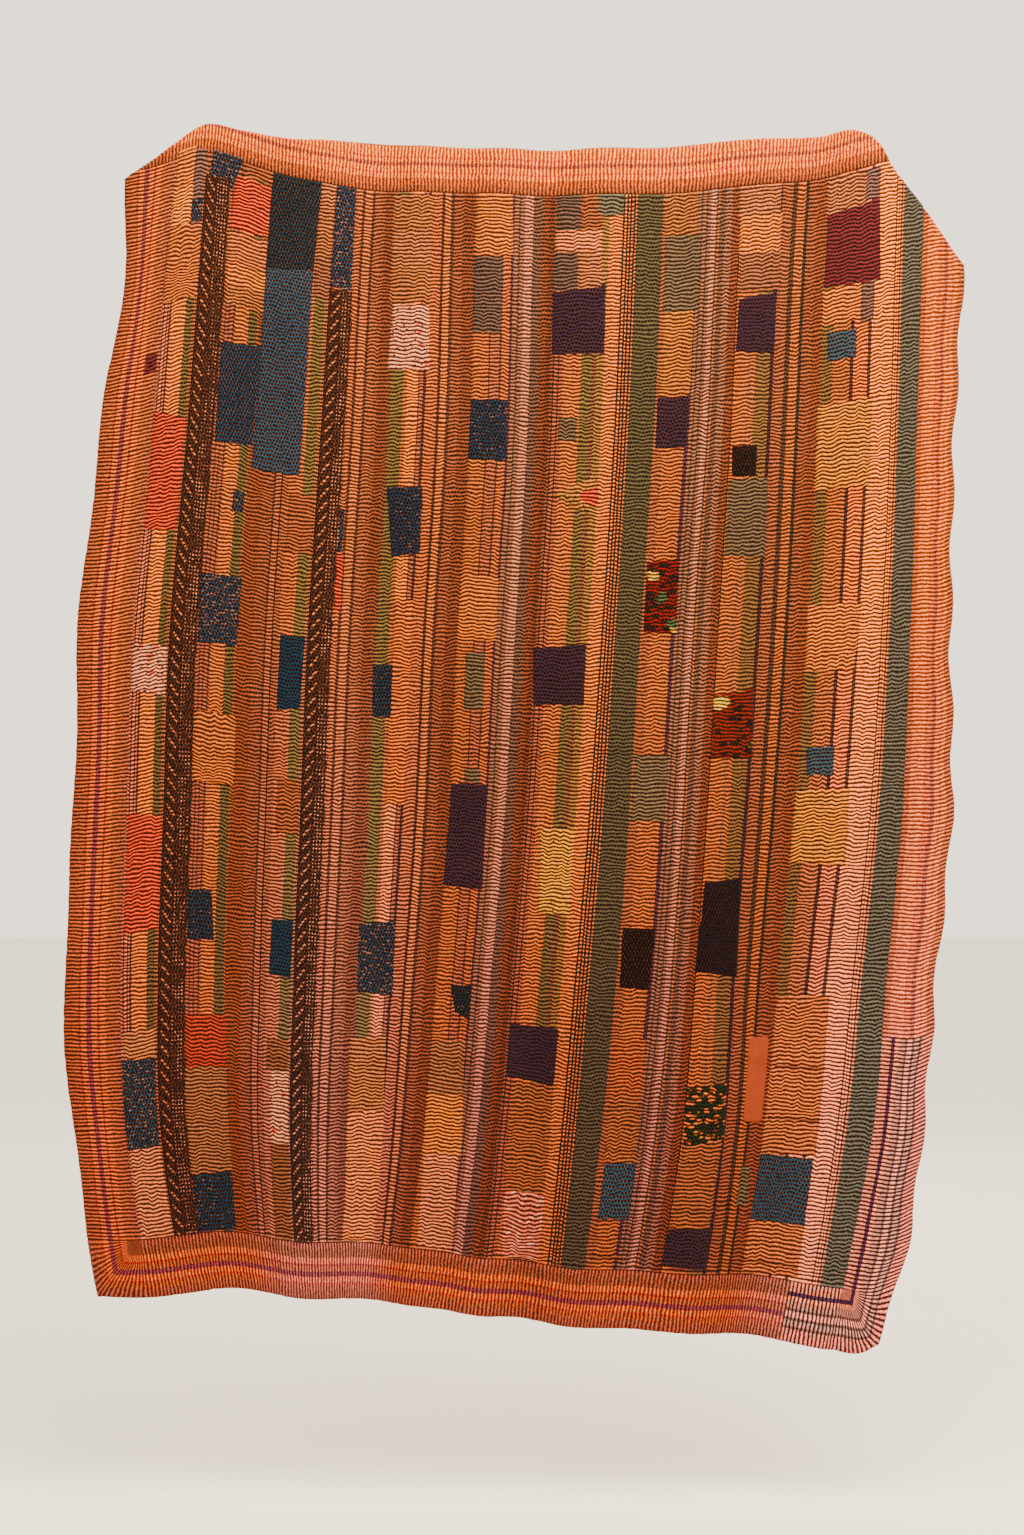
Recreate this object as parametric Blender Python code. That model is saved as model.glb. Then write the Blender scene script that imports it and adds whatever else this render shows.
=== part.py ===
# Stitched patchwork quilt, hanging from its top edge with both top corners folded back.
# Metres, +Z up. The origin is the middle of the top edge, and the quilt's front faces -Y.
# Every piece is cut in flat cloth, at u across from the left edge and v down from the top edge,
# and then hung: hang() turns a place in the flat cloth into its place in the hanging quilt.

import bmesh
import bpy
import numpy as np

# Sizes of the flat quilt
CUT_WIDTH = 1.370
CUT_LENGTH = 1.800
BORDER_WIDTH = 0.087
CLOTH = 0.003
BAND_CLOTH = 0.0012
PATCH_CLOTH = 0.0012
CLEARANCE = 0.0003

# Where pieces begin and end in the flat cloth
BAND_ONE = (0.142, 0.186)
BAND_TWO = (0.355, 0.394)
BAND_ONE_START = 0.120
BAND_TWO_START = 0.247
PATCH_ACROSS = (1.080, 1.117)
PATCH_DOWN = (1.360, 1.486)
REPAIR_START = 1.352
REPAIR_END = 1.205

# The fold over the top edge, and the strip of front cloth that always stays with it
ROLL_RADIUS = 0.005
ROLL_STRIP = 0.012
ROLL_STEPS = 6
FLAP_STEPS = 4

# Grid of each sheet
COLUMN_PITCH = 0.030
ROW_PITCH = 0.050
NORMAL_STEP = 0.001

# How far across each seam line hangs at each drop below the origin
DROPS = (0.045, 0.200, 0.400, 0.750, 1.000, 1.250, 1.450, 1.700, 1.800)
SEAM_LINES = (
    # name, u, then x at each of DROPS
    ("left edge", 0.000, (-0.603, -0.609, -0.639, -0.676, -0.682, -0.696, -0.684, -0.646, -0.624)),
    ("left seam", 0.087, (-0.529, -0.544, -0.560, -0.592, -0.600, -0.609, -0.602, -0.568, -0.552)),
    ("first band", 0.142, (-0.484, -0.495, -0.510, -0.539, -0.547, -0.555, -0.552, -0.518, -0.500)),
    ("second band", 0.355, (-0.288, -0.298, -0.310, -0.332, -0.342, -0.352, -0.357, -0.346, -0.338)),
    ("orange strip", 0.585, (-0.077, -0.081, -0.086, -0.107, -0.119, -0.138, -0.154, -0.184, -0.195)),
    ("olive stripe", 0.827, (0.165, 0.159, 0.150, 0.128, 0.111, 0.090, 0.072, 0.045, 0.032)),
    ("first purple line", 0.920, (0.258, 0.252, 0.243, 0.219, 0.205, 0.187, 0.166, 0.129, 0.112)),
    ("second purple line", 1.048, (0.382, 0.372, 0.363, 0.344, 0.327, 0.308, 0.296, 0.261, 0.243)),
    ("peach stripe", 1.207, (0.525, 0.521, 0.515, 0.498, 0.480, 0.452, 0.429, 0.393, 0.374)),
    ("right seam", 1.283, (0.596, 0.590, 0.584, 0.572, 0.560, 0.536, 0.519, 0.472, 0.453)),
    ("right edge", 1.370, (0.662, 0.657, 0.645, 0.637, 0.637, 0.612, 0.595, 0.556, 0.520)),
)

# The line over which the cloth turns at the top: u, its drop, the cloth folded behind it there,
# and how far that cloth leans across for each metre that it hangs down
TOP_LINE = (
    ("left edge", 0.000, 0.042, 0.102, 0.35),
    ("left border", 0.040, 0.019, 0.083, 0.24),
    ("left seam", 0.087, -0.012, 0.064, 0.12),
    ("left hold", 0.128, -0.035, 0.052, 0.05),
    ("beside the hold", 0.200, -0.029, 0.045, 0.00),
    ("inside the hold", 0.265, -0.017, 0.037, 0.00),
    ("second band", 0.355, -0.012, 0.024, 0.00),
    ("orange strip", 0.585, -0.002, 0.022, 0.00),
    ("middle", 0.700, 0.000, 0.022, 0.00),
    ("first purple line", 0.920, -0.007, 0.022, 0.00),
    ("second purple line", 1.048, -0.018, 0.025, 0.00),
    ("before the hold", 1.110, -0.022, 0.028, 0.00),
    ("right hold", 1.165, -0.029, 0.033, 0.00),
    ("past the hold", 1.188, -0.021, 0.045, -0.02),
    ("peach stripe", 1.207, -0.007, 0.064, -0.05),
    ("olive stripe", 1.228, 0.026, 0.100, -0.10),
    ("right seam", 1.283, 0.086, 0.172, -0.20),
    ("right edge", 1.370, 0.167, 0.262, -0.32),
)

# The bottom edge: u and its drop
BOTTOM_LINE = (
    ("left corner", 0.000, 1.718),
    ("left seam", 0.087, 1.718),
    ("first band", 0.230, 1.708),
    ("bottom crease", 0.325, 1.718),
    ("rust stripe", 0.470, 1.722),
    ("orange strip", 0.585, 1.729),
    ("middle", 0.700, 1.745),
    ("olive stripe", 0.827, 1.759),
    ("second purple line", 1.048, 1.773),
    ("peach stripe", 1.207, 1.783),
    ("right seam", 1.283, 1.797),
    ("right border", 1.345, 1.803),
    ("right corner", 1.370, 1.792),
)

# Hanging folds: x at the top and at the bottom, half width, and how far the cloth stands
# towards the front there at the top and at the bottom
FOLD_SPAN = 1.750
FOLDS = (
    ("left drape", -0.560, -0.600, 0.070, 0.006, 0.012),
    ("left valley", -0.410, -0.415, 0.062, -0.004, -0.017),
    ("band ridge", -0.320, -0.325, 0.055, 0.005, 0.012),
    ("rust valley", -0.215, -0.245, 0.042, -0.007, -0.012),
    ("second ridge", -0.160, -0.180, 0.042, 0.006, 0.010),
    ("orange valley", -0.098, -0.118, 0.036, -0.004, -0.008),
    ("centre ridge", -0.042, -0.070, 0.045, 0.006, 0.015),
    ("centre valley", 0.028, -0.014, 0.050, -0.009, -0.027),
    ("olive ridge", 0.115, 0.060, 0.058, 0.007, 0.016),
    ("purple valley", 0.225, 0.148, 0.050, -0.006, -0.010),
    ("printed ridge", 0.315, 0.235, 0.058, 0.007, 0.012),
    ("right valley", 0.435, 0.318, 0.058, -0.014, -0.019),
    ("stripe ridge", 0.530, 0.408, 0.060, 0.006, 0.014),
)

# How far each side edge is turned to the back, at the top and lower down, and over what width
TURN_DROPS = (0.000, 0.500, 1.000, 1.800)
LEFT_TURN = (0.020, 0.012, 0.008, 0.010)
RIGHT_TURN = (0.044, 0.036, 0.014, 0.010)
TURN_WIDTH = 0.120

# Slight waves of the two side edges: how far, the length of a wave, its place and its reach inwards
LEFT_RUFFLE = (0.0030, 0.330, 4.05)
RIGHT_RUFFLE = (0.0035, 0.160, 0.10)
RUFFLE_REACH = 0.110

COLOURS = {
    "quilt_field": (0.46, 0.17, 0.06),
    "border_top": (0.60, 0.22, 0.07),
    "border_left": (0.58, 0.21, 0.07),
    "border_right": (0.62, 0.25, 0.10),
    "border_bottom": (0.50, 0.17, 0.06),
    "border_repair": (0.62, 0.30, 0.20),
    "trim_band_1": (0.07, 0.025, 0.012),
    "trim_band_2": (0.07, 0.025, 0.012),
    "smooth_patch": (0.70, 0.15, 0.06),
}
CLOTH_ROUGHNESS = 0.9


def clear_scene():
    for old in list(bpy.data.objects):
        bpy.data.objects.remove(old, do_unlink=True)


def smooth_curve(knots, values, at):
    """Reads a smooth curve through the knots: values has a column for each knot, and one row or a row for each place."""
    knots = np.asarray(knots, float)
    values = np.atleast_2d(np.asarray(values, float))
    at = np.asarray(at, float)
    last = len(knots) - 1
    slopes = np.gradient(values, knots, axis=1)
    i = np.clip(np.searchsorted(knots, at) - 1, 0, last - 1)
    rows = np.arange(len(at)) if len(values) > 1 else np.zeros(len(at), int)
    span = knots[i + 1] - knots[i]
    t = (at - knots[i]) / span
    inside = np.clip(t, 0.0, 1.0)
    start, end = values[rows, i], values[rows, i + 1]
    pull_start, pull_end = slopes[rows, i] * span, slopes[rows, i + 1] * span
    cubic = (
        start * (2 * inside**3 - 3 * inside**2 + 1)
        + pull_start * (inside**3 - 2 * inside**2 + inside)
        + end * (3 * inside**2 - 2 * inside**3)
        + pull_end * (inside**3 - inside**2)
    )
    beyond = np.where(t < 0, t * pull_start, np.where(t > 1, (t - 1) * pull_end, 0.0))
    return cubic + beyond


def column(table, place):
    return [row[place] for row in table]


def seam_x(u, drop):
    """How far across the cloth at u hangs at a drop."""
    lines = np.stack([smooth_curve(DROPS, row[2], drop) for row in SEAM_LINES], axis=1)
    x = smooth_curve(column(SEAM_LINES, 1), lines, u)
    for (swing, length, start), from_edge in ((LEFT_RUFFLE, u), (RIGHT_RUFFLE, CUT_WIDTH - u)):
        near = np.clip(1.0 - from_edge / RUFFLE_REACH, 0.0, 1.0) ** 2
        x = x + near * swing * np.sin(2 * np.pi * drop / length + start)
    return x


def depth(x, drop):
    """How far behind the origin the cloth hangs, at a place seen from the front."""
    down = np.clip(drop / FOLD_SPAN, 0.0, 1.0)
    back = np.zeros_like(x)
    for _, x_top, x_low, half_width, rise_top, rise_low in FOLDS:
        middle = x_top + (x_low - x_top) * down
        rise = rise_top + (rise_low - rise_top) * down
        back -= rise * np.exp(-(((x - middle) / half_width) ** 2))
    edges = [smooth_curve(DROPS, SEAM_LINES[k][2], drop) for k in (0, -1)]
    for turn, from_edge in ((LEFT_TURN, x - edges[0]), (RIGHT_TURN, edges[1] - x)):
        near = np.clip(1.0 - from_edge / TURN_WIDTH, 0.0, 1.4) ** 2
        back += smooth_curve(TURN_DROPS, turn, drop) * near
    return back


# The cloth's depth at the middle of the top edge, where the origin lies on the turn
MIDDLE_DEPTH = float(depth(np.zeros(1), np.zeros(1))[0]) + ROLL_RADIUS


def folded_cloth(u):
    return smooth_curve(column(TOP_LINE, 1), column(TOP_LINE, 3), u)


def hang(u, v):
    """The place in the hanging quilt of each point of the flat cloth, in the middle of its thickness."""
    u, v = np.asarray(u, float), np.asarray(v, float)
    folded = folded_cloth(u)
    top = smooth_curve(column(TOP_LINE, 1), column(TOP_LINE, 2), u) + ROLL_RADIUS
    lean = smooth_curve(column(TOP_LINE, 1), column(TOP_LINE, 4), u)
    low = smooth_curve(column(BOTTOM_LINE, 1), column(BOTTOM_LINE, 2), u)
    over = np.maximum(folded - v, 0.0)
    share = np.maximum(v - folded, 0.0) / (CUT_LENGTH - folded)
    drop = top + share * (low - top)
    turned = np.minimum(over / ROLL_RADIUS, np.pi)
    straight = np.maximum(over - np.pi * ROLL_RADIUS, 0.0)
    x = seam_x(u, drop) + lean * straight
    drop = drop - ROLL_RADIUS * np.sin(turned) + straight
    y = depth(x, drop) + ROLL_RADIUS * (1.0 - np.cos(turned)) - MIDDLE_DEPTH
    return np.stack([x, y, -drop], axis=-1)


def front_of(u, v):
    """Which way the front of the cloth faces at each place."""
    across = hang(u + NORMAL_STEP, v) - hang(u - NORMAL_STEP, v)
    down = hang(u, v + NORMAL_STEP) - hang(u, v - NORMAL_STEP)
    facing = np.cross(down, across)
    return facing / np.linalg.norm(facing, axis=-1, keepdims=True)


def spread(stops, pitch):
    """Evenly spaced places from stop to stop, no further apart than the pitch."""
    places = [stops[0]]
    for start, end in zip(stops, stops[1:]):
        steps = max(1, int(np.ceil((end - start) / pitch - 1e-6)))
        places += [start + (end - start) * (k + 1) / steps for k in range(steps)]
    return places


def between(places, start, end):
    """The shared grid lines inside a piece, with the piece's own edges at its ends."""
    inner = [p for p in places if start + CLEARANCE < p < end - CLEARANCE]
    return [start] + inner + [end]


def material(name, colour):
    made = bpy.data.materials.new(name)
    made.use_nodes = True
    shader = made.node_tree.nodes["Principled BSDF"]
    shader.inputs["Base Color"].default_value = (*colour, 1.0)
    shader.inputs["Roughness"].default_value = CLOTH_ROUGHNESS
    shader.inputs["Metallic"].default_value = 0.0
    return made


def sheet(collection, name, flat, thickness=CLOTH, lift=0.0):
    """A closed sheet over a grid of flat places, flat[column][row]. Its middle stands lift in front of the quilt's."""
    flat = np.asarray(flat, float)
    columns, rows = flat.shape[0] - 1, flat.shape[1] - 1
    bm = bmesh.new()
    place = bm.verts.layers.float_vector.new("flat")
    bmesh.ops.create_grid(bm, x_segments=columns, y_segments=rows, size=1.0)
    for vert in bm.verts:
        i = round((vert.co.x + 1) / 2 * columns)
        j = round((1 - vert.co.y) / 2 * rows)
        vert[place] = (*flat[i, j], 0.0)
    bmesh.ops.triangulate(bm, faces=bm.faces[:], quad_method="FIXED")
    backs = bmesh.ops.extrude_face_region(bm, geom=bm.faces[:])["geom"]
    backs = {g for g in backs if isinstance(g, bmesh.types.BMVert)}
    verts = list(bm.verts)
    u = np.array([vert[place][0] for vert in verts], float)
    v = np.array([vert[place][1] for vert in verts], float)
    side = np.array([-0.5 if vert in backs else 0.5 for vert in verts])
    points = hang(u, v) + front_of(u, v) * (lift + side * thickness)[:, None]
    for vert, point in zip(verts, points):
        vert.co = point
    bmesh.ops.recalc_face_normals(bm, faces=bm.faces[:])
    mesh = bpy.data.meshes.new(name)
    bm.to_mesh(mesh)
    bm.free()
    mesh.shade_smooth()
    made = bpy.data.objects.new(name, mesh)
    made.data.materials.append(material(name, COLOURS[name]))
    collection.objects.link(made)
    return made


# Grid lines that all pieces share, so that a piece sewn on another lies flat on its facets
FIELD_LEFT = BORDER_WIDTH
FIELD_RIGHT = CUT_WIDTH - BORDER_WIDTH
FIELD_TOP = BORDER_WIDTH
FIELD_LOW = CUT_LENGTH - BORDER_WIDTH
HALF_GAP = CLEARANCE / 2
SEWN_EDGES = [*BAND_ONE, *BAND_TWO, *PATCH_ACROSS, REPAIR_END]
COLUMNS = spread([0.0, FIELD_LEFT, *SEWN_EDGES, FIELD_RIGHT, CUT_WIDTH], COLUMN_PITCH)
ROWS = spread([FIELD_TOP, BAND_ONE_START, BAND_TWO_START, *PATCH_DOWN, FIELD_LOW], ROW_PITCH)


def heading_edge(u):
    """Where the top border ends and the cloth below it begins."""
    return np.maximum(FIELD_TOP, folded_cloth(u) + ROLL_STRIP)


def row_at(u, row):
    """A row of the field, pressed down where the cloth folded behind reaches below the top seam."""
    top = heading_edge(u)
    return top + (row - FIELD_TOP) / (FIELD_LOW - FIELD_TOP) * (FIELD_LOW - top)


def below_heading(columns, rows, low_edge):
    """Columns of flat places from the heading down to the low edge, on the field's rows."""
    flat = []
    for u in columns:
        top = float(heading_edge(np.array([u]))[0]) + HALF_GAP
        low = low_edge(u) - HALF_GAP
        shares = [(row - rows[0]) / (rows[-1] - rows[0]) for row in rows]
        flat.append([(u, top + (low - top) * share) for share in shares])
    return flat


def on_field(columns, rows):
    """Flat places on the field's own rows, for what is sewn on it."""
    return [[(u, float(row_at(np.array([u]), row)[0])) for row in rows] for u in columns]


def make_field(collection):
    columns = between(COLUMNS, FIELD_LEFT + HALF_GAP, FIELD_RIGHT - HALF_GAP)
    flat = on_field(columns, ROWS)
    for places in flat:
        places[0] = (places[0][0], places[0][1] + HALF_GAP)
        places[-1] = (places[-1][0], places[-1][1] - HALF_GAP)
    sheet(collection, "quilt_field", flat)


def make_heading(collection):
    """The top border, with all the cloth that is folded behind it."""
    flat = []
    for u in between(COLUMNS, 0.0, CUT_WIDTH):
        folded = float(folded_cloth(np.array([u]))[0])
        start = float(heading_edge(np.array([u]))[0]) - HALF_GAP
        roll = [folded - ROLL_RADIUS * np.pi * k / ROLL_STEPS for k in range(ROLL_STEPS + 1)]
        front = [start, (start + folded) / 2]
        flap = [roll[-1] * (1 - (k + 1) / FLAP_STEPS) for k in range(FLAP_STEPS)]
        flat.append([(u, v) for v in front + roll + flap])
    sheet(collection, "border_top", [places[::-1] for places in flat])


def make_side_borders(collection):
    left = between(COLUMNS, 0.0, FIELD_LEFT - HALF_GAP)
    sheet(collection, "border_left", below_heading(left, ROWS, lambda u: CUT_LENGTH - u))
    right = between(COLUMNS, FIELD_RIGHT + HALF_GAP, CUT_WIDTH)
    rows = [row for row in ROWS if row < REPAIR_START] + [REPAIR_START]
    sheet(collection, "border_right", below_heading(right, rows, lambda u: REPAIR_START))


def make_bottom_border(collection):
    """The bottom border ends in a mitre at the left and at the repair on the right."""
    flat = []
    for inner in between(COLUMNS, FIELD_LEFT, REPAIR_END - HALF_GAP):
        outer = CLEARANCE if inner == FIELD_LEFT else inner
        shares = (0.0, 1 / 3, 2 / 3, 1.0)
        start = FIELD_LOW + HALF_GAP
        flat.append([(inner + (outer - inner) * s, start + (CUT_LENGTH - start) * s) for s in shares])
    sheet(collection, "border_bottom", flat)


def make_repair(collection):
    """One strip of other cloth that runs down the right edge, turns at a mitre and runs to the left."""
    inner_u, inner_v = FIELD_RIGHT + HALF_GAP, FIELD_LOW + HALF_GAP
    path = []
    for v in spread([REPAIR_START + HALF_GAP, inner_v], ROW_PITCH):
        path.append(((inner_u, v), (CUT_WIDTH, v)))
    path[-1] = ((inner_u, inner_v), (CUT_WIDTH, CUT_LENGTH))
    for u in reversed(between(COLUMNS, REPAIR_END + HALF_GAP, FIELD_RIGHT)[:-1]):
        path.append(((u, inner_v), (u, CUT_LENGTH)))
    shares = (0.0, 1 / 3, 2 / 3, 1.0)
    flat = [[(a[0] + (b[0] - a[0]) * s, a[1] + (b[1] - a[1]) * s) for s in shares] for a, b in path]
    sheet(collection, "border_repair", flat)


def make_sewn_on(collection):
    """The two trim bands and the smooth patch lie on the field's front."""
    for name, across, start in (("trim_band_1", BAND_ONE, BAND_ONE_START), ("trim_band_2", BAND_TWO, BAND_TWO_START)):
        rows = [row for row in ROWS if row > start - CLEARANCE]
        flat = on_field(between(COLUMNS, *across), rows)
        for places in flat:
            places[-1] = (places[-1][0], places[-1][1] - HALF_GAP)
        sheet(collection, name, flat, BAND_CLOTH, CLOTH / 2 + CLEARANCE + BAND_CLOTH / 2)
    rows = between(ROWS, *PATCH_DOWN)
    flat = on_field(between(COLUMNS, *PATCH_ACROSS), rows)
    sheet(collection, "smooth_patch", flat, PATCH_CLOTH, CLOTH / 2 + CLEARANCE + PATCH_CLOTH / 2)


def main():
    clear_scene()
    collection = bpy.data.collections.new("patchwork_quilt")
    bpy.context.scene.collection.children.link(collection)
    make_field(collection)
    make_heading(collection)
    make_side_borders(collection)
    make_bottom_border(collection)
    make_repair(collection)
    make_sewn_on(collection)


main()
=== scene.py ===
import math

import bmesh
import bpy
import numpy as np
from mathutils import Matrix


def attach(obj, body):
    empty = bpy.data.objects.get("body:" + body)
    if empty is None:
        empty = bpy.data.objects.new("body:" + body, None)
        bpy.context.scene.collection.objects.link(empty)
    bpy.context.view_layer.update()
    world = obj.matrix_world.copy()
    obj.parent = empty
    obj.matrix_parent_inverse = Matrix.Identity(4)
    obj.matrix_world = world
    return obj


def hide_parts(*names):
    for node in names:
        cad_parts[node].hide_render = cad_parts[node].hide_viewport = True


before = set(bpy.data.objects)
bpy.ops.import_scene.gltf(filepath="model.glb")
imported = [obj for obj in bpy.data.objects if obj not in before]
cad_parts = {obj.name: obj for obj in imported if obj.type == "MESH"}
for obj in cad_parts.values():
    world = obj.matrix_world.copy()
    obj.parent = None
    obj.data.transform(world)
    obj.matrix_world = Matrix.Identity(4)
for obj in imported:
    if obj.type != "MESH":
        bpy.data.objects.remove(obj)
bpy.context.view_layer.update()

# Stitched patchwork quilt, hanging from its top edge. Metres, +Z up, the front faces -Y.
# Every piece is laid out in the flat cloth, at u across from the left edge and v down from the
# top edge, and hungPlace() turns that into its place in the hanging quilt.

quilt = {
    "cutWidth": 1.370,
    "cutLength": 1.800,
    "border": 0.087,
    "cloth": 0.003,
    "roll": 0.005,          # radius of the fold over the top edge
    "fieldRows": 285,       # stitched rows in the field, about 5.7 mm apart
    "acrossRows": 240,      # stitched rows along the top and bottom borders
    "columnPitch": 0.0055,
    "ridge": 0.0012,        # how far the cloth puffs up between two rows
    "seamPress": (0.0009, 0.0022),   # depth and width of the dip along a seam
    "edgePress": (0.0008, 0.0020),   # the same where the cloth thins to its outer edge
    "straightNear": 0.012,  # rows stray less this near to a seam
    "normalStep": 0.001,
}
rowLines = 3                # grid lines to a stitched row
fieldLeft, fieldTop = quilt["border"], quilt["border"]
fieldRight = quilt["cutWidth"] - quilt["border"]
fieldLow = quilt["cutLength"] - quilt["border"]
rowPitch = (fieldLow - fieldTop) / quilt["fieldRows"]
acrossPitch = quilt["cutWidth"] / quilt["acrossRows"]
frontBase = quilt["cloth"] / 2 - quilt["ridge"]

# How far across each seam line hangs at each drop below the origin: u, then x at each drop
drops = (0.045, 0.200, 0.400, 0.750, 1.000, 1.250, 1.450, 1.700, 1.800)
seamLines = (
    (0.000, (-0.603, -0.609, -0.639, -0.676, -0.682, -0.696, -0.684, -0.646, -0.624)),
    (0.087, (-0.529, -0.544, -0.560, -0.592, -0.600, -0.609, -0.602, -0.568, -0.552)),
    (0.142, (-0.484, -0.495, -0.510, -0.539, -0.547, -0.555, -0.552, -0.518, -0.500)),
    (0.355, (-0.288, -0.298, -0.310, -0.332, -0.342, -0.352, -0.357, -0.346, -0.338)),
    (0.585, (-0.077, -0.081, -0.086, -0.107, -0.119, -0.138, -0.154, -0.184, -0.195)),
    (0.827, (0.165, 0.159, 0.150, 0.128, 0.111, 0.090, 0.072, 0.045, 0.032)),
    (0.920, (0.258, 0.252, 0.243, 0.219, 0.205, 0.187, 0.166, 0.129, 0.112)),
    (1.048, (0.382, 0.372, 0.363, 0.344, 0.327, 0.308, 0.296, 0.261, 0.243)),
    (1.207, (0.525, 0.521, 0.515, 0.498, 0.480, 0.452, 0.429, 0.393, 0.374)),
    (1.283, (0.596, 0.590, 0.584, 0.572, 0.560, 0.536, 0.519, 0.472, 0.453)),
    (1.370, (0.662, 0.657, 0.645, 0.637, 0.637, 0.612, 0.595, 0.556, 0.520)),
)

# The line over which the cloth turns: u, its drop, the cloth folded behind it, and its lean
topLine = (
    (0.000, 0.042, 0.102, 0.35),
    (0.040, 0.019, 0.083, 0.24),
    (0.087, -0.012, 0.064, 0.12),
    (0.128, -0.035, 0.052, 0.05),
    (0.200, -0.029, 0.045, 0.00),
    (0.265, -0.017, 0.037, 0.00),
    (0.355, -0.012, 0.024, 0.00),
    (0.585, -0.002, 0.022, 0.00),
    (0.700, 0.000, 0.022, 0.00),
    (0.920, -0.007, 0.022, 0.00),
    (1.048, -0.018, 0.025, 0.00),
    (1.110, -0.022, 0.028, 0.00),
    (1.165, -0.029, 0.033, 0.00),
    (1.188, -0.021, 0.045, -0.02),
    (1.207, -0.007, 0.064, -0.05),
    (1.228, 0.026, 0.100, -0.10),
    (1.283, 0.086, 0.172, -0.20),
    (1.370, 0.167, 0.262, -0.32),
)

# The bottom edge: u and its drop
bottomLine = (
    (0.000, 1.718),
    (0.087, 1.718),
    (0.230, 1.708),
    (0.325, 1.718),
    (0.470, 1.722),
    (0.585, 1.729),
    (0.700, 1.745),
    (0.827, 1.759),
    (1.048, 1.773),
    (1.207, 1.783),
    (1.283, 1.797),
    (1.345, 1.803),
    (1.370, 1.792),
)

# Hanging folds: x at the top and at the bottom, half width, and how far they stand to the front
folds = (
    (-0.560, -0.600, 0.070, 0.006, 0.012),
    (-0.410, -0.415, 0.062, -0.004, -0.017),
    (-0.320, -0.325, 0.055, 0.005, 0.012),
    (-0.215, -0.245, 0.042, -0.007, -0.012),
    (-0.160, -0.180, 0.042, 0.006, 0.010),
    (-0.098, -0.118, 0.036, -0.004, -0.008),
    (-0.042, -0.070, 0.045, 0.006, 0.015),
    (0.028, -0.014, 0.050, -0.009, -0.027),
    (0.115, 0.060, 0.058, 0.007, 0.016),
    (0.225, 0.148, 0.050, -0.006, -0.010),
    (0.315, 0.235, 0.058, 0.007, 0.012),
    (0.435, 0.318, 0.058, -0.014, -0.019),
    (0.530, 0.408, 0.060, 0.006, 0.014),
)

drape = {
    "foldSpan": 1.750,
    "turnDrops": (0.000, 0.500, 1.000, 1.800),
    "leftTurn": (0.020, 0.012, 0.008, 0.010),
    "rightTurn": (0.044, 0.036, 0.014, 0.010),
    "turnWidth": 0.120,
    "leftRuffle": (0.0030, 0.330, 4.05),
    "rightRuffle": (0.0035, 0.160, 0.10),
    "ruffleReach": 0.110,
    # creases from lying folded: drop, half width and how far they stand out
    "storageCreases": ((0.897, 0.010, 0.0016), (0.913, 0.012, -0.0012), (1.357, 0.012, 0.0015)),
    # a short upright crease in the bottom border: u, width, depth, where it starts, how far it
    # reaches to each side and over what length it deepens
    "bottomCrease": (0.325, 0.006, 0.004, 1.700, 0.05, 0.03),
}

# Hand work is uneven: the seed and height of each ripple, and its waves' size across and down
ripples = {
    "rowSmall": (1, 0.0032, 0.0078, 0.028),
    "rowSlow": (2, 0.0024, 0.055, 0.060),
    "puff": (3, 0.28, 0.0075, 0.0057),   # a share of the ridge
    "borderSmall": (4, 0.0011, 0.011, 0.011),
    "borderSlow": (5, 0.0016, 0.045, 0.045),
    "outerEdge": (6, 0.0011, 0.013, 0.013),
    "hemTop": (7, 0.0007, 0.006, 0.02),
    "hemLow": (8, 0.0007, 0.006, 0.02),
    "hemSide": (9, 0.0007, 0.02, 0.007),
    "scallop": (10, 0.0018, 0.02, 0.0105),
    "sheetBroad": (11, 0.0012, 0.070, 0.110),
    "sheetSmall": (12, 0.0005, 0.024, 0.030),
    "smoothCloth": (21, 0.0003, 0.009, 0.015),
}
latticeSize, latticeShift = 401, 50


def smoothCurve(knots, values, at):
    knots = np.asarray(knots, float)
    values = np.atleast_2d(np.asarray(values, float))
    last = len(knots) - 1
    slopes = np.gradient(values, knots, axis=1)
    i = np.clip(np.searchsorted(knots, at) - 1, 0, last - 1)
    rows = np.arange(len(at)) if len(values) > 1 else np.zeros(len(at), int)
    span = knots[i + 1] - knots[i]
    t = (at - knots[i]) / span
    inside = np.clip(t, 0.0, 1.0)
    start, end = values[rows, i], values[rows, i + 1]
    pullStart, pullEnd = slopes[rows, i] * span, slopes[rows, i + 1] * span
    cubic = (
        start * (2 * inside**3 - 3 * inside**2 + 1)
        + pullStart * (inside**3 - 2 * inside**2 + inside)
        + end * (3 * inside**2 - 2 * inside**3)
        + pullEnd * (inside**3 - inside**2)
    )
    return cubic + np.where(t < 0, t * pullStart, np.where(t > 1, (t - 1) * pullEnd, 0.0))


def column(table, place):
    return [row[place] for row in table]


def smoothStep(x):
    x = np.clip(x, 0.0, 1.0)
    return x * x * (3 - 2 * x)


def ripple(name, across, down):
    # a smooth random surface, the same each run
    seed, height, cellAcross, cellDown = ripples[name]
    lattice = np.random.default_rng(seed).uniform(-1, 1, (latticeSize, latticeSize))
    a, d = across / cellAcross + latticeShift, down / cellDown + latticeShift
    wholeA, wholeD = np.floor(a).astype(int), np.floor(d).astype(int)
    shareA, shareD = smoothStep(a - wholeA), smoothStep(d - wholeD)
    corner = lambda p, q: lattice[(wholeA + p) % latticeSize, (wholeD + q) % latticeSize]
    upper = corner(0, 0) * (1 - shareA) + corner(1, 0) * shareA
    lower = corner(0, 1) * (1 - shareA) + corner(1, 1) * shareA
    return height * (upper * (1 - shareD) + lower * shareD)


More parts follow.
